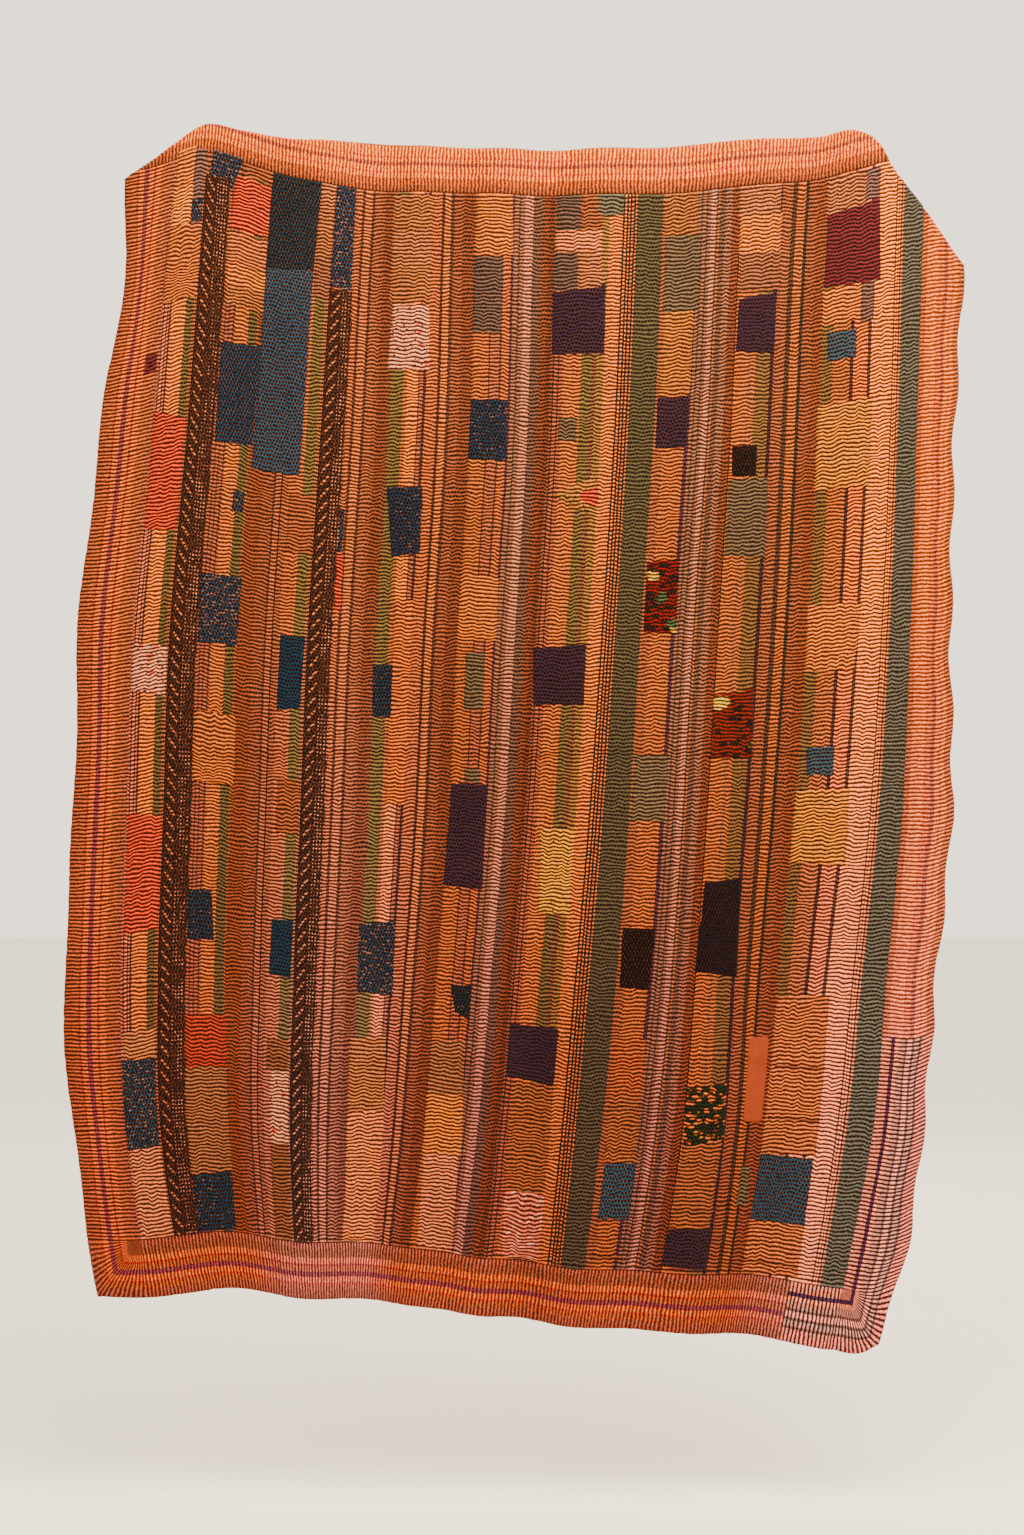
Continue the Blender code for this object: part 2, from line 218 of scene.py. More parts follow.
def seamX(u, drop):
    lines = np.stack([smoothCurve(drops, row[1], drop) for row in seamLines], axis=1)
    x = smoothCurve(column(seamLines, 0), lines, u)
    sides = ((drape["leftRuffle"], u), (drape["rightRuffle"], quilt["cutWidth"] - u))
    for (swing, length, start), fromEdge in sides:
        near = np.clip(1.0 - fromEdge / drape["ruffleReach"], 0.0, 1.0) ** 2
        x = x + near * swing * np.sin(2 * np.pi * drop / length + start)
    return x


def foldDepth(x, drop):
    down = np.clip(drop / drape["foldSpan"], 0.0, 1.0)
    back = np.zeros_like(x)
    for xTop, xLow, halfWidth, riseTop, riseLow in folds:
        middle = xTop + (xLow - xTop) * down
        back -= (riseTop + (riseLow - riseTop) * down) * np.exp(-(((x - middle) / halfWidth) ** 2))
    edges = [smoothCurve(drops, seamLines[k][1], drop) for k in (0, -1)]
    for turn, fromEdge in ((drape["leftTurn"], x - edges[0]), (drape["rightTurn"], edges[1] - x)):
        near = np.clip(1.0 - fromEdge / drape["turnWidth"], 0.0, 1.4) ** 2
        back += smoothCurve(drape["turnDrops"], turn, drop) * near
    return back


middleDepth = float(foldDepth(np.zeros(1), np.zeros(1))[0]) + quilt["roll"]


def hang(u, v):
    roll = quilt["roll"]
    folded = smoothCurve(column(topLine, 0), column(topLine, 2), u)
    top = smoothCurve(column(topLine, 0), column(topLine, 1), u) + roll
    lean = smoothCurve(column(topLine, 0), column(topLine, 3), u)
    low = smoothCurve(column(bottomLine, 0), column(bottomLine, 1), u)
    over = np.maximum(folded - v, 0.0)
    share = np.maximum(v - folded, 0.0) / (quilt["cutLength"] - folded)
    drop = top + share * (low - top)
    turned = np.minimum(over / roll, np.pi)
    straight = np.maximum(over - np.pi * roll, 0.0)
    x = seamX(u, drop) + lean * straight
    drop = drop - roll * np.sin(turned) + straight
    y = foldDepth(x, drop) + roll * (1.0 - np.cos(turned)) - middleDepth
    for creaseDrop, halfWidth, rise in drape["storageCreases"]:
        y = y - rise * np.exp(-(((drop - creaseDrop) / halfWidth) ** 2))
    creaseU, width, depth, start, reach, length = drape["bottomCrease"]
    beside = np.exp(-np.abs(u - creaseU) / reach) * np.tanh((u - creaseU) / width)
    y = y - depth * beside * smoothStep((v - start) / length)
    return np.stack([x, y, -drop], axis=-1)


def frontOf(u, v):
    step = quilt["normalStep"]
    across = hang(u + step, v) - hang(u - step, v)
    down = hang(u, v + step) - hang(u, v - step)
    facing = np.cross(down, across)
    return facing / np.linalg.norm(facing, axis=-1, keepdims=True)


def hungPlace(u, v, level):
    # the place of a point that stands a level above the middle of the cloth
    uneven = ripple("sheetBroad", u, v) + ripple("sheetSmall", u, v)
    return hang(u, v) + frontOf(u, v) * (level + uneven)[:, None]


def rowWander(u, v):
    # hand-sewn rows run in small chevrons and drift a little
    fade = smoothStep(np.minimum(v - fieldTop, fieldLow - v) / quilt["straightNear"])
    return (ripple("rowSmall", u, v) + ripple("rowSlow", u, v)) * fade


def puff(phase, u, v):
    # 0 in the groove of a stitched row and about 1 on the cloth between two rows
    rise = np.interp(phase - np.floor(phase), [0, 1 / 3, 2 / 3, 1], [0, 1, 1, 0])
    return rise * (1.0 + ripple("puff", u, v))


def pressedEdge(u, v):
    # the cloth is pressed down along its seams and thins to its outer edge
    seam = np.minimum.reduce([
        np.abs(u - fieldLeft), np.abs(u - fieldRight), np.abs(v - fieldTop), np.abs(v - fieldLow)
    ])
    edge = np.minimum.reduce([u, quilt["cutWidth"] - u, v, quilt["cutLength"] - v])
    (seamDip, seamWidth), (edgeDip, edgeWidth) = quilt["seamPress"], quilt["edgePress"]
    return seamDip * np.exp(-((seam / seamWidth) ** 2)) + edgeDip * np.exp(-np.abs(edge) / edgeWidth)


def linear(hexColour):
    parts = [int(hexColour[i:i + 2], 16) / 255 for i in (1, 3, 5)]
    return [c / 12.92 if c <= 0.04045 else ((c + 0.055) / 1.055) ** 2.4 for c in parts] + [1.0]


def addNode(tree, kind, values):
    # a key is a property, or an input's name or number; a node or an output is linked to it
    node = tree.nodes.new(kind)
    for key, value in values.items():
        if isinstance(value, bpy.types.Node):
            value = value.outputs[0]
        if isinstance(value, bpy.types.NodeSocket):
            tree.links.new(value, node.inputs[key])
        elif isinstance(key, str) and hasattr(node, key):
            setattr(node, key, value)
        else:
            node.inputs[key].default_value = value
    return node


def addMath(tree, operation, *values):
    return addNode(tree, "ShaderNodeMath", {"operation": operation, **dict(enumerate(values))})


def addRange(tree, value, start, end, low=0.0, high=1.0, curve="LINEAR"):
    return addNode(tree, "ShaderNodeMapRange", {
        "interpolation_type": curve, "Value": value,
        "From Min": start, "From Max": end, "To Min": low, "To Max": high,
    })


def addNoise(tree, vector, scale, detail):
    # on the flat cloth the scale is the number of cells to a metre
    return addNode(tree, "ShaderNodeTexNoise", {"Vector": vector, "Scale": scale, "Detail": detail})


def addMix(tree, share, under, over, blend="MIX"):
    return addNode(tree, "ShaderNodeMix", {
        "data_type": "RGBA", "blend_type": blend, 0: share, 6: under, 7: over,
    }).outputs[2]


def addCut(tree):
    # the place on the flat cloth, in metres
    return addNode(tree, "ShaderNodeUVMap", {"uv_map": "cut"})


def addAttribute(tree, name):
    return addNode(tree, "ShaderNodeAttribute", {"attribute_name": name}).outputs["Fac"]


def newMaterial(name):
    made = bpy.data.materials.new(name)
    made.use_nodes = True
    return made, made.node_tree


def dress(tree, colour, values, height=None, strength=0.0, distance=0.0):
    # feeds the shader its colour and bump, and sets its own sockets
    shader = tree.nodes["Principled BSDF"]
    for key, value in values.items():
        shader.inputs[key].default_value = value
    tree.links.new(colour, shader.inputs["Base Color"])
    if height:
        bump = addNode(tree, "ShaderNodeBump", {
            "Strength": strength, "Distance": distance, "Height": height,
        })
        tree.links.new(bump.outputs[0], shader.inputs["Normal"])


# Running-stitched cotton: matt and soft, with a puffed row between every two rows of thread
stitchedCotton = {
    "shader": {
        "Roughness": 0.86, "Sheen Weight": 0.02, "Sheen Roughness": 0.6, "Specular IOR Level": 0.04,
    },
    "paintedGrooveShade": "#2A2426",   # painted shade: colour the grooves are multiplied by, where the cloth shades itself
    "groove": (0.12, 0.45),    # of a row: where a groove's bottom ends and its side ends
    "raggedness": 0.34,        # of a row: how far a groove's edge strays
    "stray": 190.0,            # cells to a metre of that
    "thread": "#C8703F",
    "stitchLength": 5.0,       # mm from one stitch to the next
    "stitchHalf": 0.8,         # mm, half of what shows of a stitch
    "stitchShift": 2.1,        # mm from a row's stitches to the next row's
    "threadDeep": 0.35,        # of a groove's side: where the thread starts to show
    "threadPull": (0.36, 0.56, 0.1),   # it sinks where the cloth puckers, and how much still shows
    "puffLength": 3.4,         # mm, the small puckers between stitches
    "puckerShade": (0.28, 0.72, 0.72, 1.22),
    "patina": (4.0, 2.0),      # cells to a metre and detail of the uneven fading
    "patinaShade": (0.3, 0.7, 0.88, 1.06),
    "weave": 1.4,              # mm: the real threads are 0.4 mm apart, drawn coarser so that they show
    "weaveBump": 0.35,
    "bump": (0.55, 0.0010),
    "pinkness": 1.0,           # how pink the lower half is turned
}

# The lower half is pinker in two broad bands, and the rest of it is darker and redder. Places are in m,
# each where a change starts and is full.
lowerHalfTint = {
    "down": (0.70, 1.50),
    "leftMiddle": 0.42,
    "leftAway": (0.15, 0.08),
    "right": (1.10, 1.20),
    "blush": (0.0, 0.045, 0.12),    # share of the red that green and blue gain
    "lowerDarkening": (0.85, 0.70, 1.05, 1.0),
}


def lowerHalfColour(tree, cut, colour, pinkness):
    place = addNode(tree, "ShaderNodeSeparateXYZ", {"Vector": cut})
    low = addRange(tree, place.outputs["Y"], *lowerHalfTint["down"], high=pinkness)
    beside = addMath(tree, "SUBTRACT", place.outputs["X"], lowerHalfTint["leftMiddle"])
    away = addMath(tree, "ABSOLUTE", beside)
    left = addRange(tree, away, *lowerHalfTint["leftAway"])
    right = addRange(tree, place.outputs["X"], *lowerHalfTint["right"])
    pinkBands = addMath(tree, "MULTIPLY", addMath(tree, "MAXIMUM", left, right), low)
    red = addNode(tree, "ShaderNodeSeparateColor", {"Color": colour}).outputs["Red"]
    share = addMath(tree, "MULTIPLY", red, pinkBands)
    blush = addNode(tree, "ShaderNodeVectorMath", {
        "operation": "SCALE", 0: lowerHalfTint["blush"], "Scale": share,
    })
    pinker = addNode(tree, "ShaderNodeVectorMath", {"operation": "ADD", 0: colour, 1: blush})
    lowerDarkening = addMath(tree, "SUBTRACT", low, pinkBands)
    return addMix(tree, lowerDarkening, pinker, lowerHalfTint["lowerDarkening"], "MULTIPLY")


def stitchedSurface(tree, colour, threadShow, bumpRows=1.0, worn=None):
    # changes to one cloth's look; on three borders they pale the painted shade in the grooves
    look = {**stitchedCotton, **(worn or {})}
    cut = addCut(tree)
    along = addAttribute(tree, "along")
    ragged = addNoise(tree, cut, look["stray"], 1.0)
    strayed = addMath(tree, "MULTIPLY_ADD", ragged, look["raggedness"], addAttribute(tree, "row"))
    row = addMath(tree, "ADD", strayed, -0.5 * look["raggedness"])
    folded = addMath(tree, "PINGPONG", row, 0.5)
    crest = addRange(tree, folded, *look["groove"], curve="SMOOTHSTEP")
    pace = addMath(tree, "DIVIDE", along, look["puffLength"])
    onRow = addNode(tree, "ShaderNodeCombineXYZ", {"X": pace, "Y": row})
    pucker = addNoise(tree, onRow, 1.0, 1.0)
    # painted shade and painted highlight: the colour is darkened and lightened with the puckers, which
    # the bump raises too
    shade = addRange(tree, pucker, *look["puckerShade"])
    threads = addNode(tree, "ShaderNodeVectorMath", {
        "operation": "SCALE", 0: cut, "Scale": 1000 / look["weave"],
    })
    weave = addNoise(tree, threads, 1.0, 1.0)
    patina = addRange(tree, addNoise(tree, cut, *look["patina"]), *look["patinaShade"])
    shaded = addMath(tree, "MULTIPLY", shade, patina)
    lowerTinted = lowerHalfColour(tree, cut, colour, look["pinkness"])
    puckerShadedColour = addMix(tree, 1.0, lowerTinted, shaded, "MULTIPLY")
    # painted shade: the colour is darkened in the grooves between the rows
    groove = addMix(tree, 1.0, puckerShadedColour, linear(look["paintedGrooveShade"]), "MULTIPLY")
    rows = addMix(tree, crest, groove, puckerShadedColour)
    # thread shows as short dashes in the grooves, set off from row to row
    nearest = addMath(tree, "ROUND", row)
    offset = addMath(tree, "MULTIPLY_ADD", nearest, look["stitchShift"], along)
    dash = addMath(tree, "PINGPONG", offset, look["stitchLength"] / 2)
    shown = addMath(tree, "LESS_THAN", dash, look["stitchHalf"])
    hollow = addRange(tree, crest, look["threadDeep"], 0.0, 0.0, threadShow)
    sunk = addRange(tree, pucker, *look["threadPull"])
    mask = addMath(tree, "MULTIPLY", addMath(tree, "MULTIPLY", shown, sunk), hollow)
    sewn = addMix(tree, mask, rows, linear(look["thread"]))
    puffed = addMath(tree, "MULTIPLY_ADD", crest, bumpRows, pucker)
    height = addMath(tree, "MULTIPLY_ADD", weave, look["weaveBump"], puffed)
    dress(tree, sewn, look["shader"], height, *look["bump"])


# Dyes of the cloths, as the light catches them between the rows
dye = {
    "lowPink": "#733F24", "pink": "#9A4825", "lightPink": "#D4673A", "lowMauve": "#411810",
    "mauve": "#55251C", "lightMauve": "#5C2B20", "lowDark": "#27160A", "dark": "#3E2217",
    "lightDark": "#49291B", "lowCream": "#A24D22", "cream": "#BE590E", "lightCream": "#DE6805",
    "lowOlive": "#564620", "olive": "#654F22", "lightOlive": "#865A1C", "lowOrange": "#91461D",
    "orange": "#B14E12", "lightOrange": "#DA5C05", "lowDeepOrange": "#7C3711",
    "lightDeepOrange": "#90451F", "lowRust": "#713315", "rust": "#853E1B", "lightRust": "#A74615",
    "lowBrightPeach": "#B4551D", "brightPeach": "#CE610D", "lightBrightPeach": "#F3760E",
    "lowDeepRust": "#612A11", "lightDeepRust": "#703315", "lowPeach": "#72381C", "peach": "#AC500D",
    "lightPeach": "#DA5C04", "ink": "#381F1C", "lowDarkPurple": "#321618",
    "lightDarkPurple": "#43212A", "lowGreyPink": "#894E31", "lightGreyPink": "#AD4F0A",
    "lowPalePink": "#B4694A", "palePink": "#BA7661", "lightPalePink": "#ED835B",
    "lowGrey": "#5F3D2C", "darkOlive": "#413A23", "goldOlive": "#6E4A1E",
    "lowShadeOlive": "#2A2317", "lightShadeOlive": "#412918", "greyOlive": "#4D493B",
    "lowRed": "#A92C04", "lightRed": "#C03208", "lowPurple": "#832E33", "lowEdge": "#9E4925",
    # painted light: the pale peach, red, purple and orange dyes here are lighter copies of border dyes,
    # for the borders that catch more light
    "lightEdge": "#B6530F", "brownPink": "#DD673D", "litBorderPeach": "#EA7000", "litBorderRed": "#D8460E",
    "litBorderPurple": "#A5462C", "litBorderOrange": "#DE640C", "lineBlack": "#211A13",
    "mossGrey": "#4A3A2A", "repairDark": "#6B4236", "violet": "#43183A",
}

# The striped ground cloth, in five lengths sewn side by side: stripes in mm from the left edge
groundLengths = {
    "ground_length_1": {"from": 0.087, "to": 0.355, "stripes": (
        (87, "lightPink"), (90, "mauve"), (92, "lightPink"), (95.5, "lightMauve"),
        (97.5, "lightPink"), (100.6, "lightDark"), (103.4, "lightCream"), (126, "lowOlive"),
        (138, "lowOrange"), (186, "pink"), (190, "lightMauve"), (192, "pink"), (196, "lightMauve"),
        (198, "pink"), (203.4, "lightDark"), (205.4, "pink"), (207.5, "cream"), (229, "lowOlive"),
        (243, "lowOrange"), (245.5, "lowDeepOrange"), (271, "rust"), (288.5, "lightDark"),
        (291.5, "lowCream"), (300, "lowDark"), (302, "lightDeepOrange"), (312, "orange"),
        (331, "cream"), (333.5, "olive"), (351.5, "lowCream"),
    )},
    "ground_length_2": {"from": 0.355, "to": 0.585, "stripes": (
        (355, "pink"), (394, "orange"), (401, "lightDark"), (405.5, "lowBrightPeach"),
        (417, "lightDark"), (422, "lowOrange"), (433, "rust"), (440, "lightDeepRust"),
        (453, "lowPeach"), (461, "olive"), (480.5, "peach"), (486, "lightCream"),
        (503, "lightDark"), (505, "pink"), (510, "ink"), (514.5, "orange"), (531.5, "dark"),
        (536, "cream"), (546, "lightDark"), (551, "rust"), (566, "lightDeepRust"),
    )},
    "ground_length_3": {"from": 0.585, "to": 0.827, "stripes": (
        (585, "peach"), (610, "dark"), (612, "pink"), (626, "lightDark"), (628.5, "orange"),
        (640, "lightDarkPurple"), (644.5, "lowGreyPink"), (651, "mossGrey"), (654, "lowGreyPink"),
        (660, "lowPalePink"), (672, "lowGrey"), (687, "lowRust"), (697, "lowDeepRust"),
        (706, "lowPink"), (709, "lowMauve"), (711, "pink"), (716.5, "dark"), (718.5, "pink"),
        (725, "cream"), (752, "olive"), (768, "lowPink"), (775, "lightOlive"),
        (785.5, "brightPeach"), (806, "lineBlack"), (808.6, "brightPeach"), (811.2, "lineBlack"),
        (813.8, "brightPeach"), (816.4, "lineBlack"), (819, "lowBrightPeach"), (821.6, "lineBlack"),
        (824.2, "brightPeach"),
    )},
    "ground_length_4": {"from": 0.827, "to": 1.052, "stripes": (
        (827, "darkOlive"), (866, "lowOrange"), (880, "peach"), (890.5, "lightGreyPink"),
        (896, "peach"), (913, "lightDarkPurple"), (918.5, "lowGreyPink"), (923, "mossGrey"),
        (926, "lowGreyPink"), (931, "mossGrey"), (934, "lowGreyPink"), (938, "lowPalePink"),
        (946, "mossGrey"), (948.5, "lightGreyPink"), (951.5, "lowGrey"), (960, "lowGreyPink"),
        (971, "lowRust"), (983, "lowDark"), (985, "peach"), (1007.5, "lowGreyPink"),
        (1011, "peach"), (1019, "goldOlive"), (1042.5, "lowDarkPurple"), (1049, "pink"),
    )},
    "ground_length_5": {"from": 1.052, "to": 1.283, "stripes": (
        (1052, "lowOrange"), (1066, "lightShadeOlive"), (1074, "peach"), (1087.5, "lowShadeOlive"),
        (1093, "rust"), (1108, "lowDeepOrange"), (1123.5, "goldOlive"), (1142, "peach"),
        (1168, "ink"), (1173, "lightPeach"), (1195, "lightDark"), (1200, "lightBrightPeach"),
        (1235, "lightDark"), (1236.4, "lightBrightPeach"), (1239, "dark"),
        (1240.4, "lightBrightPeach"), (1243, "dark"), (1244.4, "brightPeach"), (1247, "greyOlive"),
    )},
}

# Border cloth on each side and the repair, in mm from the outer edge to the seam
borderStripes = {
    # painted light: lighter copies of the border dyes, where the top border turns up to the light
    "top": (
        (0, "lightRust"), (18, "litBorderPeach"), (33, "litBorderRed"), (36, "litBorderPeach"),
        (41.5, "litBorderPurple"), (47.5, "litBorderPeach"), (56, "litBorderRed"), (58.5, "litBorderPeach"),
        (66, "orange"), (77, "lightDeepOrange"),
    ),
    "left": (
        (0, "lightRust"), (14, "orange"), (23, "lowRed"), (26, "lightOrange"), (35, "lowPurple"),
        (42.5, "lightOrange"), (51.5, "lowRed"), (54.5, "lightPeach"), (64, "orange"),
        (78, "lowEdge"),
    ),
    # painted light: lighter copies of the left border's dyes, where the right side catches more light
    "right": (
        (0, "lightEdge"), (14, "litBorderPeach"), (23, "litBorderRed"), (26, "litBorderPeach"),
        (35, "litBorderPurple"), (42.5, "lightOrange"), (51.5, "litBorderRed"), (54.5, "litBorderPeach"),
        (64, "litBorderOrange"), (78, "orange"),
    ),
    "bottom": (
        (0, "lowEdge"), (14, "orange"), (23, "lightRed"), (26, "lightOrange"), (35, "lowPurple"),
        (42.5, "orange"), (51.5, "lowRed"), (54.5, "lightPeach"), (64, "lowOrange"),
        (78, "lowEdge"),
    ),
    "repair": (
        (0, "brownPink"), (20, "repairDark"), (24, "palePink"), (32, "repairDark"),
        (36.5, "lightPalePink"), (45, "repairDark"), (49, "lowPalePink"), (60, "lightBrightPeach"),
        (66, "violet"), (72.5, "brightPeach"), (80, "lightPink"),
    ),
}

# Yarn-dyed striped cotton, woven plain: even matt stripes with slightly soft edges. Each colour
# runs from its own place, in mm, to the next one's.
yarnDyed = {
    "thread": 0.08,
    "drift": (90.0, 1.0),   # cells to a metre and detail of the woven edges
    "wander": 1.6,          # mm that they drift
}


def stripedCotton(name, stripes, start, end, attribute=None, worn=None):
    made, tree = newMaterial(name)
    cut = addCut(tree)
    if attribute:
        coordinate = addAttribute(tree, attribute)
    else:
        across = addNode(tree, "ShaderNodeSeparateXYZ", {"Vector": cut}).outputs["X"]
        coordinate = addMath(tree, "MULTIPLY", across, 1000.0)
    drift, wander = addNoise(tree, cut, *yarnDyed["drift"]), yarnDyed["wander"]
    drifted = addMath(tree, "MULTIPLY_ADD", drift, wander, coordinate)
    spread = addRange(tree, drifted, start + wander / 2, end + wander / 2)
    ramp = addNode(tree, "ShaderNodeValToRGB", {"Fac": spread})
    stops = ramp.color_ramp
    stops.interpolation = "CONSTANT"
    while len(stops.elements) > 1:
        stops.elements.remove(stops.elements[-1])
    for number, (place, colour) in enumerate(stripes):
        position = (place - start) / (end - start)
        stop = stops.elements[0] if number == 0 else stops.elements.new(position)
        stop.position = position
        stop.color = linear(dye[colour])
    stitchedSurface(tree, ramp.outputs[0], yarnDyed["thread"], worn=worn)
    return made


# Plain-woven backing cotton dyed rust: one soft, slightly cloudy colour, quilted with the same rows
backingLook = {"dyes": ("#C9794F", "#DD9468"), "cloudy": (9.0, 3.0), "thread": 0.45, "bumpRows": 3.6}


def backingCotton():
    made, tree = newMaterial("plainWovenBackingCotton")
    cloudy = addNoise(tree, addCut(tree), *backingLook["cloudy"])
    colour = addMix(tree, cloudy, *(linear(dyed) for dyed in backingLook["dyes"]))
    stitchedSurface(tree, colour, backingLook["thread"], backingLook["bumpRows"])
    return made


# Cloth of each patch: its colour, how plainly the thread shows, and the marks scattered over it,
# each as colour, mm between marks, share of that filled, and how much longer than high they are
patchCloths = {
    "plainTan": ("#AA5928", 0.05), "paleTan": ("#CE6407", 0.05), "creamTan": ("#E17504", 0.05),
    "greyTan": ("#A1541D", 0.05), "brownTan": ("#974F18", 0.05), "orangeTan": ("#AA5904", 0.05),
    "archTan": ("#B75610", 0.05), "linedTan": ("#894927", 0.05), "linedPink": ("#C16137", 0.05),
    "plainPeach": ("#B95720", 0.05), "greyBrown": ("#543C30", 0.05), "rustTan": ("#914418", 0.05),
    "pinkTan": ("#D36931", 0.05), "umberTan": ("#804222", 0.05), "orange": ("#CB6F00", 0.03),
    "orangePlain": ("#CC5804", 0.05), "yellowOrange": ("#C45E00", 0.03),
    "orangeRed": ("#C43000", 0.03), "deepRed": ("#992300", 0.05),
    "orangeRedPlain": ("#9D3E08", 0.05), "maroon": ("#59171E", 0.05),
    "darkPurple": ("#2A1423", 0.07), "purpleBrown": ("#10040E", 0.07),
    "darkBrown": ("#100401", 0.08), "darkGrey": ("#6C483A", 0.05), "oliveGrey": ("#5D4830", 0.05),
    "oliveGreen": ("#58513A", 0.05), "nearBlack": ("#0B1B23", 0.14), "navy": ("#0A2032", 0.18),
    "teal": ("#052234", 0.08), "blue": ("#273A44", 0.12), "slate": ("#1A3040", 0.2),
    "slubRow": ("#7A3C1E", 0.05),
    "pinkRed": ("#C0553A", 0.05, ("#D98468", 9.0, 0.36, 1.6)),
    "slateSpeckle": ("#0B2031", 0.16, ("#7C5440", 3.2, 0.29, 1.8)),
    "deepSpeckle": ("#0A1C2C", 0.1, ("#714A37", 3.4, 0.2, 1.8)),
    "navySpeckle": ("#09151B", 0.08, ("#714B34", 3.4, 0.18, 1.8)),
    "floral": ("#DD825C", 0.05, ("#241A21", 5.6, 0.24, 1.3), ("#BB3917", 19.0, 0.2, 1.2)),
    "redFleck": ("#670902", 0.05,
        ("#190B07", 8.0, 0.46, 2.4), ("#C99817", 26.0, 0.2, 1.6), ("#354D2C", 30.0, 0.26, 1.2),
    ),
    "redYellow": ("#671502", 0.05, ("#190B07", 7.0, 0.4, 2.6), ("#D09F18", 30.0, 0.33, 1.5)),
    "yellowDots": ("#CC7E00", 0.05, ("#B8703C", 5.0, 0.26, 1.2), ("#241715", 9.0, 0.15, 1.0)),
    "flowerPrint": ("#0F1C0B", 0.05,
        ("#BE4C00", 9.5, 0.39, 1.1), ("#BE6C00", 15.0, 0.22, 1.0), ("#5E1712", 17.0, 0.16, 1.0),
    ),
    "beigeFleck": ("#B0621C", 0.05, ("#333F15", 5.0, 0.3, 1.2)),
}
scrapLook = {
    "cloudy": (45.0, 2.0),
    "tone": (0.0, 1.0, 0.86, 1.10),
    "shift": (7.3, 3.1),     # cells from one kind of mark to the next, across and down
    "randomness": 0.9,
    "ragged": (2.6, 2.0, 0.5),   # scale, detail and height of the marks' broken outline
    "outline": (0.22, 0.30),
}


def patchCotton(name):
    # plain-woven cotton scrap, piece-dyed or block-printed with scattered marks of no one's design
    base, threadShow, *marks = patchCloths[name]
    made, tree = newMaterial("stitchedScrap_" + name)
    cut = addCut(tree)
    tone = addRange(tree, addNoise(tree, cut, *scrapLook["cloudy"]), *scrapLook["tone"])
    colour = addMix(tree, 1.0, linear(base), tone, "MULTIPLY")
    right, down = scrapLook["shift"]
    scale, detail, height = scrapLook["ragged"]
    inside, outside = scrapLook["outline"]
    for number, (markColour, gap, share, longer) in enumerate(marks):
        cells = addNode(tree, "ShaderNodeMapping", {
            "Vector": cut, "Location": (right * number, down * number, 0.0),
            "Scale": (1000 / (gap * longer), 1000 / gap, 1.0),
        })
        spots = addNode(tree, "ShaderNodeTexVoronoi", {
            "Vector": cells, "Scale": 1.0, "Randomness": scrapLook["randomness"],
        })
        edge = addMath(tree, "MULTIPLY_ADD", addNoise(tree, cells, scale, detail), height, spots)
        mask = addRange(tree, edge, share + inside, share + outside, 1.0, 0.0)
        colour = addMix(tree, mask, colour, linear(markColour))
    stitchedSurface(tree, colour, threadShow, worn={"pinkness": 0.0})
    return made


# Trim bands: woven dark cotton tape, hand-embroidered with slanted ticks on one half and small
# dashes on the other. Sizes are in mm.
trim = {
    "ground": "#1C0B06",
    "worn": "#45200F",
    "tick": "#B4602C",
    "dash": "#C9774A",
    "edge": "#B86433",
    "thread": 0.12,
    "ragged": (330.0, 2.0),
    "bare": (0.42, 0.72),      # share of the wear where the ground starts to show worn
    "whole": (0.42, 0.55),     # and where a dash is whole
    "tickGap": 20.0,           # from one tick to the next
    "tickShake": 5.0,
    "tickHalf": (1.5, 2.6),    # half width of a tick, at its full colour and at its end
    "tickZone": (13.0, 6.0),   # middle and half width of their half of the tape
    "dashZone": (32.0, 8.5),
    "dashLine": (2.4, 1.0),    # half the distance from line to line, and half a line's width
    "dashBeat": (2.85, 1.3),   # half the distance from dash to dash, and half a dash
    "rim": 1.3,
}


def trimCotton(name, left, lean):
    made, tree = newMaterial(name)
    cut = addCut(tree)
    place = addNode(tree, "ShaderNodeSeparateXYZ", {"Vector": cut})
    across = addMath(tree, "MULTIPLY_ADD", place.outputs["X"], 1000.0, -1000.0 * left)
    down = addMath(tree, "MULTIPLY", place.outputs["Y"], 1000.0)
    ragged = addNoise(tree, cut, *trim["ragged"])
    slanted = addMath(tree, "MULTIPLY_ADD", across, lean, down)
    shaken = addMath(tree, "MULTIPLY_ADD", ragged, trim["tickShake"], slanted)
    tickRow = addMath(tree, "PINGPONG", shaken, trim["tickGap"] / 2)
    tick = addRange(tree, tickRow, *trim["tickHalf"], 1.0, 0.0)
    ticks = addMath(tree, "MULTIPLY", tick, addMath(tree, "COMPARE", across, *trim["tickZone"]))
    dashes = addRange(tree, ragged, *trim["whole"])
    for source, (half, filled) in ((across, trim["dashLine"]), (down, trim["dashBeat"])):
        beat = addMath(tree, "LESS_THAN", addMath(tree, "PINGPONG", source, half), filled)
        dashes = addMath(tree, "MULTIPLY", dashes, beat)
    dashes = addMath(tree, "MULTIPLY", dashes, addMath(tree, "COMPARE", across, *trim["dashZone"]))
    rim = addMath(tree, "LESS_THAN", across, trim["rim"])
    bare = addRange(tree, ragged, *trim["bare"])
    colour = addMix(tree, bare, linear(trim["ground"]), linear(trim["worn"]))
    for mask, mark in ((ticks, "tick"), (dashes, "dash"), (rim, "edge")):
        colour = addMix(tree, mask, colour, linear(trim[mark]))
    stitchedSurface(tree, colour, trim["thread"])
    return made


fieldInset = 90.0           # mm from the outer edge, given to all that isn't border


